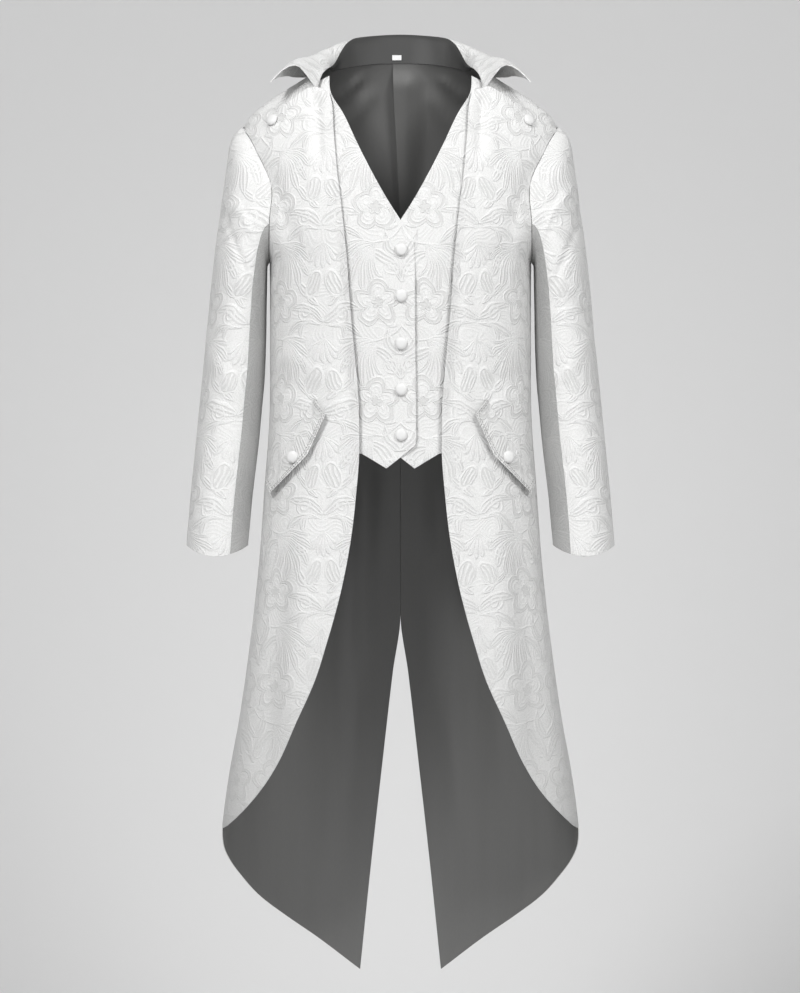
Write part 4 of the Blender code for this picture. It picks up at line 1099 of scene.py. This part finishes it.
PLUME_FILL = 0.42            # half of a plume's width, as a share of the room that it has
CURL_STEP = 0.0062           # between the turns of a tendril

def leaf_parts(x, y, motif):
    """Distances to a leaf's outline, to the lines inside it, and to its woven fill."""
    share = (x / motif.length).most(0).least(1)
    beside = y - (share * pi).using("SINE") * motif.bend
    width = (share ** 0.6) * (1 - share) * (LEAF_SWELL * motif.width) - LEAF_SHRINK
    outline = (abs(beside) - width).most(-x).most(x - motif.length)
    veins = abs(beside.using("WRAP", VEIN_STEP / 2, -VEIN_STEP / 2))
    return outline, veins.most(x - VEIN_REACH * motif.length).most(outline + 0.0012), outline


def stem_parts(x, y, motif):
    share = (x / motif.length).most(0).least(1)
    beside = abs(y - (share * pi).using("SINE") * motif.bend)
    outline = (beside - motif.width).most(-x).most(x - motif.length)
    return outline, None, outline


def bud_parts(x, y, motif):
    """An oval with ribs along it."""
    outline = (length(x / motif.length, y / motif.width) - 1) * motif.width
    ribs = abs((y * (1 - (x / (1.25 * motif.length)) ** 2)).using("WRAP", RIB_STEP / 2, -RIB_STEP / 2))
    return outline, ribs.most(outline + 0.32 * motif.width), outline


def flower_parts(x, y, motif):
    """A rim of round petals, the same rim again inside it, and a small heart in a ring of stamens."""
    radius = length(x, y)
    angle = y.using("ARCTAN2", x)
    petals = abs((angle * (PETALS / 2)).using("COSINE"))
    rim = radius - (petals * 0.34 + 0.66) * motif.length
    band = rim + BAND * motif.length
    heart = radius - (petals * 0.13 + 0.13) * motif.length
    around = angle.using("WRAP", pi / PETALS, -pi / PETALS) * radius
    stamens = length(around, (radius - STAMEN_PLACE * motif.length) * 0.5) - 0.0004
    inner = abs(band).least(abs(band + RING * motif.length)).least(abs(heart)).least(stamens.most(0))
    return rim, inner, rim.most(-band).least(heart)


def fan_parts(x, y, motif):
    """Plumes that spread from one point and curl to one side."""
    radius = length(x, y)
    angle = y.using("ARCTAN2", x) + radius * motif.bend
    plume = abs(angle.using("WRAP", PLUME_ANGLE / 2, -PLUME_ANGLE / 2))
    reach = (1 - (angle / (PLUMES * PLUME_ANGLE)) ** 2 * 1.2) * motif.length
    end = (1 - (radius / reach).least(1) ** 5) ** 0.5
    outline = (plume - end * (PLUME_FILL * PLUME_ANGLE)) * radius + 0.0003
    spread = (abs(angle) - PLUMES / 2 * PLUME_ANGLE) * radius
    outline = outline.most(spread).most(radius - reach)
    return outline, (plume * radius).most(outline + 0.0014), outline


def curl_parts(x, y, motif):
    """A tendril that winds up on itself."""
    radius = length(x, y)
    turned = radius - y.using("ARCTAN2", x) * (CURL_STEP / (2 * pi))
    beside = abs(turned.using("WRAP", CURL_STEP / 2, -CURL_STEP / 2))
    outline = beside.most(radius - motif.length) - motif.width
    return outline, None, outline


PARTS = {"leaf": leaf_parts, "stem": stem_parts, "bud": bud_parts, "flower": flower_parts, "fan": fan_parts,
         "curl": curl_parts}
print("motifs", len(MOTIFS))

# %% A group for the brocade
def new_group(name, inputs, outputs):
    """A node group with named values going in, as (name, default), and coming out, all of them numbers."""
    tree = bpy.data.node_groups.new(name, "ShaderNodeTree")
    for socket, value in inputs:
        made = tree.interface.new_socket(name=socket, in_out="INPUT", socket_type="NodeSocketFloat")
        made.default_value = value
    for socket in outputs:
        tree.interface.new_socket(name=socket, in_out="OUTPUT", socket_type="NodeSocketFloat")
    return tree, tree.nodes.new("NodeGroupInput"), tree.nodes.new("NodeGroupOutput")


def cloth_map(tree):
    """The piece's own place on the flat cloth, in metres."""
    node = tree.nodes.new("ShaderNodeUVMap")
    node.uv_map = "cloth"
    return node.outputs["UV"]


def vector_node(tree, operation, first, *others):
    node = tree.nodes.new("ShaderNodeVectorMath")
    node.operation = operation
    tree.links.new(first, node.inputs[0])
    for slot, value in zip(node.inputs[1:], others):
        slot.default_value = value
    return node.outputs["Vector"]


def noise(tree, vector, scale, detail=2.0):
    node = tree.nodes.new("ShaderNodeTexNoise")
    node.inputs["Scale"].default_value = scale
    node.inputs["Detail"].default_value = detail
    tree.links.new(vector, node.inputs["Vector"])
    return Value(tree, node.outputs["Fac"])


LINE_HALF = 0.0010           # half the width of an outline's cord
LINE_SOFT = 0.0008
HALF_REPEAT = (0.5, REPEAT_HEIGHT / 2, 1)    # the motifs are repeated only up the cloth
WANDER = 0.017               # how far the figure strays from its even repeat, and how fast
WANDER_SCALES = (19.0, 26.0)
STRAND_SCALE = 27.0          # fine strands that wander over the ground: how far apart, how many, how strong
STRANDS = 13.0
STRAND_SHARE = 0.5
STRAND_LINE = (0.10, 0.30)       # their soft edge, and how near to a motif they end
STRAND_CLEAR = (0.0010, 0.0030)
FIGURE_EDGE = (-0.0004, 0.0006)
GRAIN_SCALE = 560.0
CORD_HEIGHT = 0.00050        # how high the cords, the floats and the grain stand
FLOAT_HEIGHT = 0.00022
GRAIN_HEIGHT = 0.00042
PAINTED_HEM_SHADE_LEVELS = (-0.90, -0.42)      # painted shade: the cloth is darker towards the hem
WORN_LEVELS = (-0.74, -0.40)     # the figure is pressed flatter towards the hem, by this share
WORN_SHARE = 0.5

MASKS = ("Line", "Figure", "Grain", "Height", "Hem")

def draw_motifs(tree, u, v):
    """Distance to the nearest drawn line, and to the nearest motif, which is below zero inside it."""
    folded = tree.nodes.new("ShaderNodeCombineXYZ")
    tree.links.new(u.using("PINGPONG", REPEAT_WIDTH).socket, folded.inputs["X"])
    tree.links.new(v.socket, folded.inputs["Y"])
    line = inside = None
    for motif in MOTIFS:
        moved = vector_node(tree, "SUBTRACT", folded.outputs["Vector"], (motif.x, motif.y, 0))
        wrapped = vector_node(tree, "WRAP", moved, HALF_REPEAT, [-value for value in HALF_REPEAT])
        turned = tree.nodes.new("ShaderNodeVectorRotate")
        turned.rotation_type = "Z_AXIS"
        turned.inputs["Angle"].default_value = -radians(motif.turn)
        tree.links.new(wrapped, turned.inputs["Vector"])
        split = tree.nodes.new("ShaderNodeSeparateXYZ")
        tree.links.new(turned.outputs["Vector"], split.inputs["Vector"])
        x, y = (Value(tree, split.outputs[axis]) for axis in "XY")
        outline, drawn, fill = PARTS[motif.kind](x, y, motif)
        line = abs(outline) if line is None else line.most(-outline).least(abs(outline))
        inside = fill if inside is None else inside.most(-outline).least(fill)
        if drawn is not None:
            line = line.least(drawn.most(outline))
    return line, inside


def make_brocade_group():
    """Masks and height of the woven figure, and the mask of the painted shade towards the hem."""
    tree, given, out = new_group("brocade figure", [("Relief", 1.0)], MASKS)
    place = cloth_map(tree)
    split = tree.nodes.new("ShaderNodeSeparateXYZ")
    wander = [noise(tree, place, scale, 1.0) - 0.5 for scale in WANDER_SCALES]
    tree.links.new(place, split.inputs["Vector"])
    u = Value(tree, split.outputs["X"]) + wander[0] * WANDER
    v = Value(tree, split.outputs["Y"]) + wander[1] * WANDER
    line, inside = draw_motifs(tree, u, v)
    figure = inside.fade(*FIGURE_EDGE)
    strands = abs((noise(tree, place, STRAND_SCALE, 0.0) * STRANDS).using("WRAP", 0.5, -0.5))
    strands = strands.fade(*STRAND_LINE) * (1 - inside.fade(*STRAND_CLEAR)) * STRAND_SHARE
    cord = line.fade(LINE_HALF - LINE_SOFT / 2, LINE_HALF + LINE_SOFT).most(strands)
    grain = noise(tree, place, GRAIN_SCALE, 2.0)
    relief = Value(tree, given.outputs["Relief"]) * (1 - v.fade(*WORN_LEVELS) * WORN_SHARE)
    raised = (cord * CORD_HEIGHT + figure * FLOAT_HEIGHT) * relief
    height = raised + (figure + 0.5) * grain * GRAIN_HEIGHT
    masks = {"Line": cord * relief, "Figure": figure * relief, "Grain": grain, "Height": height,
             "Hem": v.fade(*PAINTED_HEM_SHADE_LEVELS)}
    for name, value in masks.items():
        tree.links.new(value.socket, out.inputs[name])
    print("nodes in the brocade group", len(tree.nodes))
    return tree


BROCADE_FIGURE = make_brocade_group()

# %% [markdown]
# ## Finishes
# White cloth in a picture is never one white. The ground is matt, the floating threads of the figure are a
# little greyer and shinier, and the cords along their outlines are raised and catch the light. The lining
# is a dark grey satin that shines more along the threads than across them, so it gets long soft streaks.

# %% Materials
def new_material(name, colour, roughness):
    made = bpy.data.materials.new(name)
    made.use_nodes = True
    shader = made.node_tree.nodes["Principled BSDF"]
    shader.inputs["Base Color"].default_value = (*colour, 1)
    shader.inputs["Roughness"].default_value = roughness
    return made


def mix_colour(tree, share, low, high):
    """A colour between two others. Each is a colour or a socket."""
    node = tree.nodes.new("ShaderNodeMix")
    node.data_type = "RGBA"
    tree.links.new(share.socket, node.inputs["Factor"])
    for slot, colour in ((node.inputs[6], low), (node.inputs[7], high)):
        if isinstance(colour, tuple):
            slot.default_value = (*colour, 1)
        else:
            tree.links.new(colour, slot)
    return node.outputs[2]


def bump(tree, height, strength=1.0):
    node = tree.nodes.new("ShaderNodeBump")
    node.inputs["Strength"].default_value = strength
    node.inputs["Distance"].default_value = 1.0
    tree.links.new(height.socket, node.inputs["Height"])
    tree.links.new(node.outputs["Normal"], tree.nodes["Principled BSDF"].inputs["Normal"])


GROUND = (0.835, 0.835, 0.828)
FLOATS = (0.735, 0.735, 0.728)
CORDS = (0.880, 0.880, 0.875)
# Painted shade: the under sleeve's ground and floats are much darker than the rest, for the shade that falls
# between the sleeve and the body.
UNDER_GROUND_PAINTED_SHADE = (0.370, 0.370, 0.367)
UNDER_FLOATS_PAINTED_SHADE = (0.355, 0.355, 0.352)
SPECKS = (0.600, 0.600, 0.590)       # of the weave's grain
PAINTED_HEM_SHADE = (0.300, 0.300, 0.297)    # painted shade, mixed in towards the hem, and how much of it
PAINTED_HEM_SHADE_SHARE = 0.33
MATT = 0.72                          # roughness of the ground, and how much less the floats and cords have
FLOAT_SHINE = 0.22
CORD_SHINE = 0.05

def make_brocade(name, ground, floats, relief):
    made = new_material(name, ground, MATT)
    tree = made.node_tree
    shader = tree.nodes["Principled BSDF"]
    figure = tree.nodes.new("ShaderNodeGroup")
    figure.node_tree = BROCADE_FIGURE
    figure.inputs["Relief"].default_value = relief
    masks = {key: Value(tree, figure.outputs[key]) for key in MASKS}
    woven = mix_colour(tree, masks["Figure"], ground, floats)
    corded = mix_colour(tree, masks["Line"], woven, CORDS)
    speckled = mix_colour(tree, (masks["Grain"] - 0.40) * 1.5, corded, SPECKS)
    # Painted shade: the colour is darkened towards the hem, where the lamps give less light.
    hem_shaded = mix_colour(tree, masks["Hem"] * PAINTED_HEM_SHADE_SHARE, speckled, PAINTED_HEM_SHADE)
    tree.links.new(hem_shaded, shader.inputs["Base Color"])
    roughness = MATT - masks["Figure"] * FLOAT_SHINE - masks["Line"] * CORD_SHINE
    tree.links.new(roughness.socket, shader.inputs["Roughness"])
    shader.inputs["Sheen Weight"].default_value = 0.08
    shader.inputs["Specular IOR Level"].default_value = 0.35
    bump(tree, masks["Height"])
    return made


LONG_THREADS = (26.0, 2.2, 1.0)      # how fast each pattern changes across and along the cloth
FINE_THREADS = (900.0, 130.0, 1.0)
HOLLOWS = (11.0, 3.0, 1.0)
LONG_SHARE = 0.7
SATIN_SHINE = 0.16                   # how much the roughness changes from thread to thread
LONG_HEIGHT = 0.0007
FINE_HEIGHT = 0.00003
TAPE_RIBS = 260.0
RIB_WANDER = 0.6
RIB_HEIGHT = 0.00006

def make_satin(name, colour, streak, roughness, drape):
    """Smooth satin with long streaks down the cloth."""
    made = new_material(name, colour, roughness)
    tree = made.node_tree
    shader = tree.nodes["Principled BSDF"]
    place = cloth_map(tree)
    long_threads, fine_threads, hollows = (
        noise(tree, vector_node(tree, "MULTIPLY", place, stretch), 1.0, detail)
        for stretch, detail in ((LONG_THREADS, 3.0), (FINE_THREADS, 1.0), (HOLLOWS, 1.0)))
    share = long_threads * LONG_SHARE + fine_threads * (1 - LONG_SHARE)
    tree.links.new(mix_colour(tree, share, colour, streak), shader.inputs["Base Color"])
    tree.links.new((share * SATIN_SHINE + (roughness - SATIN_SHINE / 2)).socket, shader.inputs["Roughness"])
    shader.inputs["Sheen Weight"].default_value = 0.10
    bump(tree, hollows * drape + long_threads * LONG_HEIGHT + fine_threads * FINE_HEIGHT)
    return made


def make_tape(name, colour, shadow):
    """A narrow woven tape or a twisted thread, with its ribs across it."""
    made = new_material(name, colour, 0.65)
    tree = made.node_tree
    shader = tree.nodes["Principled BSDF"]
    place = tree.nodes.new("ShaderNodeTexCoord").outputs["Object"]
    ribs = tree.nodes.new("ShaderNodeTexWave")
    ribs.inputs["Scale"].default_value = TAPE_RIBS
    ribs.inputs["Distortion"].default_value = RIB_WANDER
    tree.links.new(place, ribs.inputs["Vector"])
    rib = Value(tree, ribs.outputs["Fac"])
    tree.links.new(mix_colour(tree, rib, shadow, colour), shader.inputs["Base Color"])
    bump(tree, rib * RIB_HEIGHT)
    return made


BROCADE = make_brocade("white brocade", GROUND, FLOATS, 1.0)
# The under sleeve's brocade is painted darker for its shade, and its figure is fainter.
UNDER_SLEEVE_PAINTED_SHADE_BROCADE = make_brocade("brocade of the under sleeve", UNDER_GROUND_PAINTED_SHADE, UNDER_FLOATS_PAINTED_SHADE, 0.10)
SATIN = make_satin("dark grey satin lining", (0.118, 0.118, 0.115), (0.172, 0.172, 0.169), 0.46, 0.0040)
# Painted shade: the facing is the lining's satin made far darker, for the shade inside the collar's stand.
PAINTED_SHADE_FACING = make_satin("dark grey satin facing", (0.024, 0.024, 0.023), (0.050, 0.050, 0.049), 0.55, 0.0015)
COVERED = make_satin("white satin button cloth", (0.84, 0.84, 0.835), (0.78, 0.78, 0.775), 0.42, 0.0)
TAPE = make_tape("label tape", (0.90, 0.90, 0.90), (0.74, 0.74, 0.74))
THREAD = make_tape("sewing thread", (0.46, 0.46, 0.455), (0.34, 0.34, 0.335))
CUT = (BROCADE, SATIN)
CUT_UNDER = (UNDER_SLEEVE_PAINTED_SHADE_BROCADE, SATIN)
print("finishes", [made.name for made in (BROCADE, UNDER_SLEEVE_PAINTED_SHADE_BROCADE, SATIN, PAINTED_SHADE_FACING, COVERED, TAPE, THREAD)])

# %% [markdown]
# ## Fronts, backs and their lining
# The fronts are cut away from the waist to the side of the tails. The backs meet in a centre seam that
# opens into the long vent. Each piece is named for the wearer's side. The inner face of every panel is the
# grey lining.

# %% Marks on the armhole
front_armhole = np.append(UNDERARM_ROWS, np.linspace(SLEEVE_FRONT_SEAM, FRONT_LEVEL, 7))
back_armhole = np.append(UNDERARM_ROWS, np.linspace(SLEEVE_BACK_SEAM, DOME, 8))
front_marks = np.concatenate([[FRONT_LOW, FRONT_HEM, FRONT_SKIRT], front_armhole])
back_marks = np.concatenate([[TAIL_TIP, TAIL_ROUND, VENT_TOP], back_armhole])
neck_shares = np.array([0, 0.12, 0.34, 0.56, 0.76, 0.91, 1])
neck_columns = np.arcsin(neck_shares * NECK_POINT / half_width(NECK_LEVEL)) / outer_angle(DOME)
yoke_rows = np.array([0, 0.14, 0.32, 0.52, 0.70, YOKE_SEEN, 1])

FRONT_SIZE = (0.21, 1.06)        # real width and length that the grids are divided by
BACK_SIZE = (0.27, 1.34)
front_columns = finer([0, 1], FRONT_SIZE[0])
front_rows = finer(front_marks, FRONT_SIZE[1])
back_columns = finer(np.append(neck_columns, 1), BACK_SIZE[0])
back_rows = finer(back_marks, BACK_SIZE[1])
print("front grid", len(front_columns), "x", len(front_rows))
print("back grid", len(back_columns), "x", len(back_rows))

# %% Sides
def name_of(side):
    return "left" if side > 0 else "right"


SIDES = (1, -1)
pieces = {}

for side in SIDES:
    which = name_of(side)
    pieces[f"front_{which}"] = cloth(f"coat_front_{which}", front_columns, front_rows, front_panel(side),
                                     CUT, flat=body_flat(FRONT))
    pieces[f"back_{which}"] = cloth(f"coat_back_{which}", back_columns, back_rows, back_panel(side),
                                    CUT, flat=body_flat(BACK))
    lining = back_panel(side, LINING_LIFT, LINING_INSET, pleat=side > 0)
    pieces[f"lining_back_{which}"] = cloth(f"back_lining_{which}", back_columns, back_rows, lining,
                                           (SATIN, SATIN), thickness=LINING, flat=body_flat(BACK))

# %% [markdown]
# ## Yokes, waistcoat and pocket flaps
# The yoke runs over the shoulder, and the front's top edge lies on it. The waistcoat's fronts are sewn in
# under the coat's fronts, and the right one laps over the left one, with its buttons.

# %% Yokes, waistcoat and flaps
FLAP_START = (0.030, 0.040)      # where on the cloth the flaps are cut, along their own length
yoke_grid = finer([0, 1], 0.15), finer(yoke_rows, 0.09)
vest_grid = finer([row.share for row in VEST_HEM], 0.13), finer([0, VEST_LOW, 1], 0.56)
flap_grid = finer([row.share for row in FLAP], 0.14), finer([0, 1], 0.03)

for side in SIDES:
    which = name_of(side)
    pieces[f"yoke_{which}"] = cloth(f"shoulder_yoke_{which}", *yoke_grid, yoke_panel(side), CUT,
                                    flat=body_flat(FRONT))
    pieces[f"waistcoat_{which}"] = cloth(f"waistcoat_front_{which}", *vest_grid,
                                         vest_panel(side, over=side < 0), CUT, flat=body_flat(FRONT))
    pieces[f"pocket_flap_{which}"] = cloth(f"slanted_flap_{which}", *flap_grid, flap_panel(side), CUT,
                                           thickness=FLAP_CLOTH, start=FLAP_START)

# %% [markdown]
# ## Sleeves
# A two-piece sleeve has a wide upper piece and a narrow under piece. Their seams run down the front and the
# back of the arm. The rings of the table carry the sleeve from the armhole's own outline to a round cuff.

# %% Sleeves
yoke_armhole = mix(DOME, FRONT_LEVEL, yoke_rows[:-2] / YOKE_SEEN)
front_turns = armhole_turn(np.concatenate([yoke_armhole, front_armhole[::-1]]))
back_turns = 2 * pi - armhole_turn(back_armhole)
front_seam = armhole_turn(SLEEVE_FRONT_SEAM)
back_seam = 2 * pi - armhole_turn(SLEEVE_BACK_SEAM)
turns = np.concatenate([front_turns, back_turns[1:]])
behind = turns[turns > back_seam - 1e-6] - 2 * pi
ahead = turns[(turns > 0) & (turns < front_seam + 1e-6)]
top_turns = np.concatenate([behind, ahead])
under_turns = turns[(turns > front_seam - 1e-6) & (turns < back_seam + 1e-6)]
SLEEVE_ROUND = 0.42
SLEEVE_LENGTH = 0.62
sleeve_rows = finer(np.arange(len(RINGS)) / (len(RINGS) - 1), SLEEVE_LENGTH)

def sleeve_turns(marks):
    marks = marks.copy()
    marks[0] += SEAM_TURN
    marks[-1] -= SEAM_TURN
    return finer(marks, SLEEVE_ROUND * (marks[-1] - marks[0]) / (2 * pi))


for side in SIDES:
    which = name_of(side)
    for part, marks, finish in (("top", top_turns, CUT), ("under", under_turns, CUT_UNDER)):
        pieces[f"sleeve_{part}_{which}"] = cloth(f"{part}_sleeve_{which}", sleeve_turns(marks), sleeve_rows,
                                                 sleeve_panel(side), finish, flat=sleeve_flat(side, part))

# %% [markdown]
# ## Collar
# The collar stands up behind the neck, rolls over and falls outside. In front it widens into two pointed
# wings that float over the shoulders. Its inner side is faced up to the roll with the lining's satin, painted
# darker for the shade inside the stand.

# %% Collar and facing
shares = np.concatenate([neck_shares, 1 + yoke_rows[1:-2]])
stations = np.concatenate([-shares[:0:-1], shares])
collar_stations = finer(stations, 0.62)
collar_rows = finer([0, FACING_ROW, 1], 0.085)
pieces["collar"] = cloth("turned_collar", collar_stations, collar_rows, collar_place, (BROCADE, BROCADE))
FACING_DROP = 0.0030         # the facing's lower edge hangs over the neck seam, clear of the lining
FACING_CLEAR = 0.0004
FACING_LOW = 0.12            # share of the collar's rows over which it does


def facing_place(station, row, lift):
    place = collar_place(station, row, lift)
    low = 1 - ease(row / FACING_LOW)
    place[..., 2] -= FACING_DROP * low
    place[..., 1] -= FACING_CLEAR * low
    return place


facing_stations = collar_stations[np.abs(collar_stations) <= 1 + 1e-9]
facing_rows = collar_rows[collar_rows <= FACING_ROW + 1e-9]
pieces["collar_facing"] = cloth("dark_collar_facing", facing_stations, facing_rows, facing_place,
                                (PAINTED_SHADE_FACING, PAINTED_SHADE_FACING), lift=FACING_LIFT, thickness=LINING)

# %% [markdown]
# ## Covered buttons
# A covered button is a round shell with cloth pulled over it and tucked in behind. Its outline is turned
# once round the axis with spin, which is how such a shell is pressed, and then set square on the cloth.

# %% Buttons
BUTTON_PROFILE = ((0.00, 0.62), (0.32, 0.605), (0.58, 0.555), (0.78, 0.44), (0.90, 0.28), (0.98, 0.08),
                  (1.00, -0.04), (0.96, -0.16), (0.86, -0.24), (0.70, -0.29), (0.00, -0.30))

BUTTON_LOW = 0.30            # how far the outline reaches below its middle
BUTTON_SIDES = 40
BUTTON_SHANK = 0.0012        # thread under the button
BUTTON_LINE = -0.001         # where the waistcoat's buttons stand beside the middle
FLAP_BUTTON_TURN = 0.8       # how much the flap's button is turned to the front

def surface_and_normal(x, z, side, lift):
    """A point in front and the outward direction there."""
    low = seen(np.array([x]), np.array([z]), side, FRONT, lift)[0]
    high = seen(np.array([x]), np.array([z]), side, FRONT, lift + 0.001)[0]
    return Vector(low), Vector(high - low).normalized()


def button(name, place, normal):
    bm = bmesh.new()
    rim = [bm.verts.new((r * BUTTON_SIZE / 2, 0, h * BUTTON_HEIGHT)) for r, h in BUTTON_PROFILE]
    outline = [bm.edges.new(pair) for pair in zip(rim, rim[1:])]
    bmesh.ops.spin(bm, geom=rim + outline, cent=(0, 0, 0), axis=(0, 0, 1), angle=2 * pi,
                   steps=BUTTON_SIDES, use_merge=True)
    bmesh.ops.remove_doubles(bm, verts=bm.verts[:], dist=1e-5)
    bmesh.ops.recalc_face_normals(bm, faces=bm.faces[:])
    turn = normal.to_track_quat("Z", "Y").to_matrix().to_4x4()
    seat = Matrix.Translation(place + normal * (BUTTON_SHANK + BUTTON_LOW * BUTTON_HEIGHT))
    bmesh.ops.transform(bm, matrix=seat @ turn, verts=bm.verts[:])
    return show(name, bm, (COVERED,))


for side in SIDES:
    which = name_of(side)
    place, normal = surface_and_normal(*SHOULDER_BUTTON, side, 0)
    pieces[f"button_shoulder_{which}"] = button(f"shoulder_button_{which}", place, normal)
    place, normal = surface_and_normal(*FLAP_BUTTON, side, FLAP_LIFT + FLAP_BUTTON_RISE)
    normal = (normal + Vector((0, -FLAP_BUTTON_TURN, 0))).normalized()
    pieces[f"button_flap_{which}"] = button(f"flap_button_{which}", place, normal)
for number, height in enumerate(VEST_BUTTONS, 1):
    seat = surface_and_normal(BUTTON_LINE, height, -1, VEST_OVER + SEAM)
    pieces[f"button_waistcoat_{number}"] = button(f"front_button_{number}", *seat)
print("buttons", sum(name.startswith("button") for name in pieces))

# %% [markdown]
# ## Stitching on the pocket flaps
# Two rows of lockstitch hold the edges of each flap. Every stitch is a short thread that dips into the
# cloth at both ends, so each is a small stretched ball, set along the edge on the flap's own surface. Each
# flap has one joined mesh that holds all of its stitches.

# %% Stitching
STITCH = 0.0034              # length of a stitch, the step to the next one, and its thickness
STITCH_STEP = 0.0042
STITCH_THICK = 0.0012
STITCH_ROWS = (0.0022, 0.0052)   # distances of the rows from the edge
STITCH_SUNK = 0.15           # share of its thickness by which its middle stands off the cloth
STITCH_FIRST = 0.04          # share of the flap's width that the rows leave free at its seam
FLAP_LENGTH = 0.144
FLAP_WIDTH = 0.031

def flap_outline(inset):
    """Corners of a line inside the flap's edge, as shares along and across it."""
    along = inset / FLAP_LENGTH
    low = 1 - inset / FLAP_WIDTH
    return [(along, STITCH_FIRST), (along, low), (FLAP[1].share, low), (1 - along, low),
            (1 - along, STITCH_FIRST)]


def stitch_line(bm, place, corners):
    for (u0, v0), (u1, v1) in zip(corners, corners[1:]):
        ends = place(np.array([u0, u1]), np.array([v0, v1]), np.zeros(2))
        count = max(1, int(np.linalg.norm(ends[1] - ends[0]) / STITCH_STEP))
        share = (np.arange(count) + 0.5) / count
        near = 0.01
        u, v = mix(u0, u1, share), mix(v0, v1, share)
        at = place(u, v, np.full(count, STITCH_THICK * STITCH_SUNK))
        ahead = place(u + near * (u1 - u0), v + near * (v1 - v0), np.full(count, STITCH_THICK * STITCH_SUNK))
        above = place(u, v, np.full(count, STITCH_THICK))
        for here, onward, up in zip(at, ahead, above):
            forward = Vector(onward - here).normalized()
            outward = Vector(up - here).normalized()
            across = outward.cross(forward).normalized()
            turn = Matrix((forward, across, outward)).transposed().to_4x4()
            size = Matrix.Diagonal((STITCH / 2, STITCH_THICK / 2, STITCH_THICK / 2, 1))
            bmesh.ops.create_uvsphere(bm, u_segments=6, v_segments=4, radius=1,
                                      matrix=Matrix.Translation(here) @ turn @ size)


for side in SIDES:
    bm = bmesh.new()
    for inset in STITCH_ROWS:
        stitch_line(bm, flap_panel(side), flap_outline(inset))
    print("flap stitches", len(bm.faces))
    show(f"flap_stitches_{name_of(side)}", bm, (THREAD,))

# %% Label
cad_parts["neck_label"].data.materials.clear()
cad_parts["neck_label"].data.materials.append(TAPE)

# %% [markdown]
# ## Which piece stands for which
# Each finished piece takes the place of its plain solid, which is hidden. A table lists how large each cloth
# piece was cut.
# The flat sizes are the cut panels' width and length, with the area that is left when the corners are cut
# away.

# %% Cuts
CUTS = table("piece width length area", (
    ("front", 0.235, 1.080, 0.166), ("back", 0.300, 1.340, 0.310), ("lining_back", 0.300, 1.340, 0.310),
    ("yoke", 0.145, 0.095, 0.0105), ("waistcoat", 0.150, 0.560, 0.061),
    ("pocket_flap", 0.145, 0.037, 0.0049), ("sleeve_top", 0.280, 0.610, 0.120),
    ("sleeve_under", 0.140, 0.430, 0.058), ("collar", 0.640, 0.110, 0.044),
    ("collar_facing", 0.260, 0.045, 0.0090),
))

for name, piece in pieces.items():
    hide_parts(name)
    stem = name.replace("_left", "").replace("_right", "")
    for cut in CUTS:
        cut.piece == stem
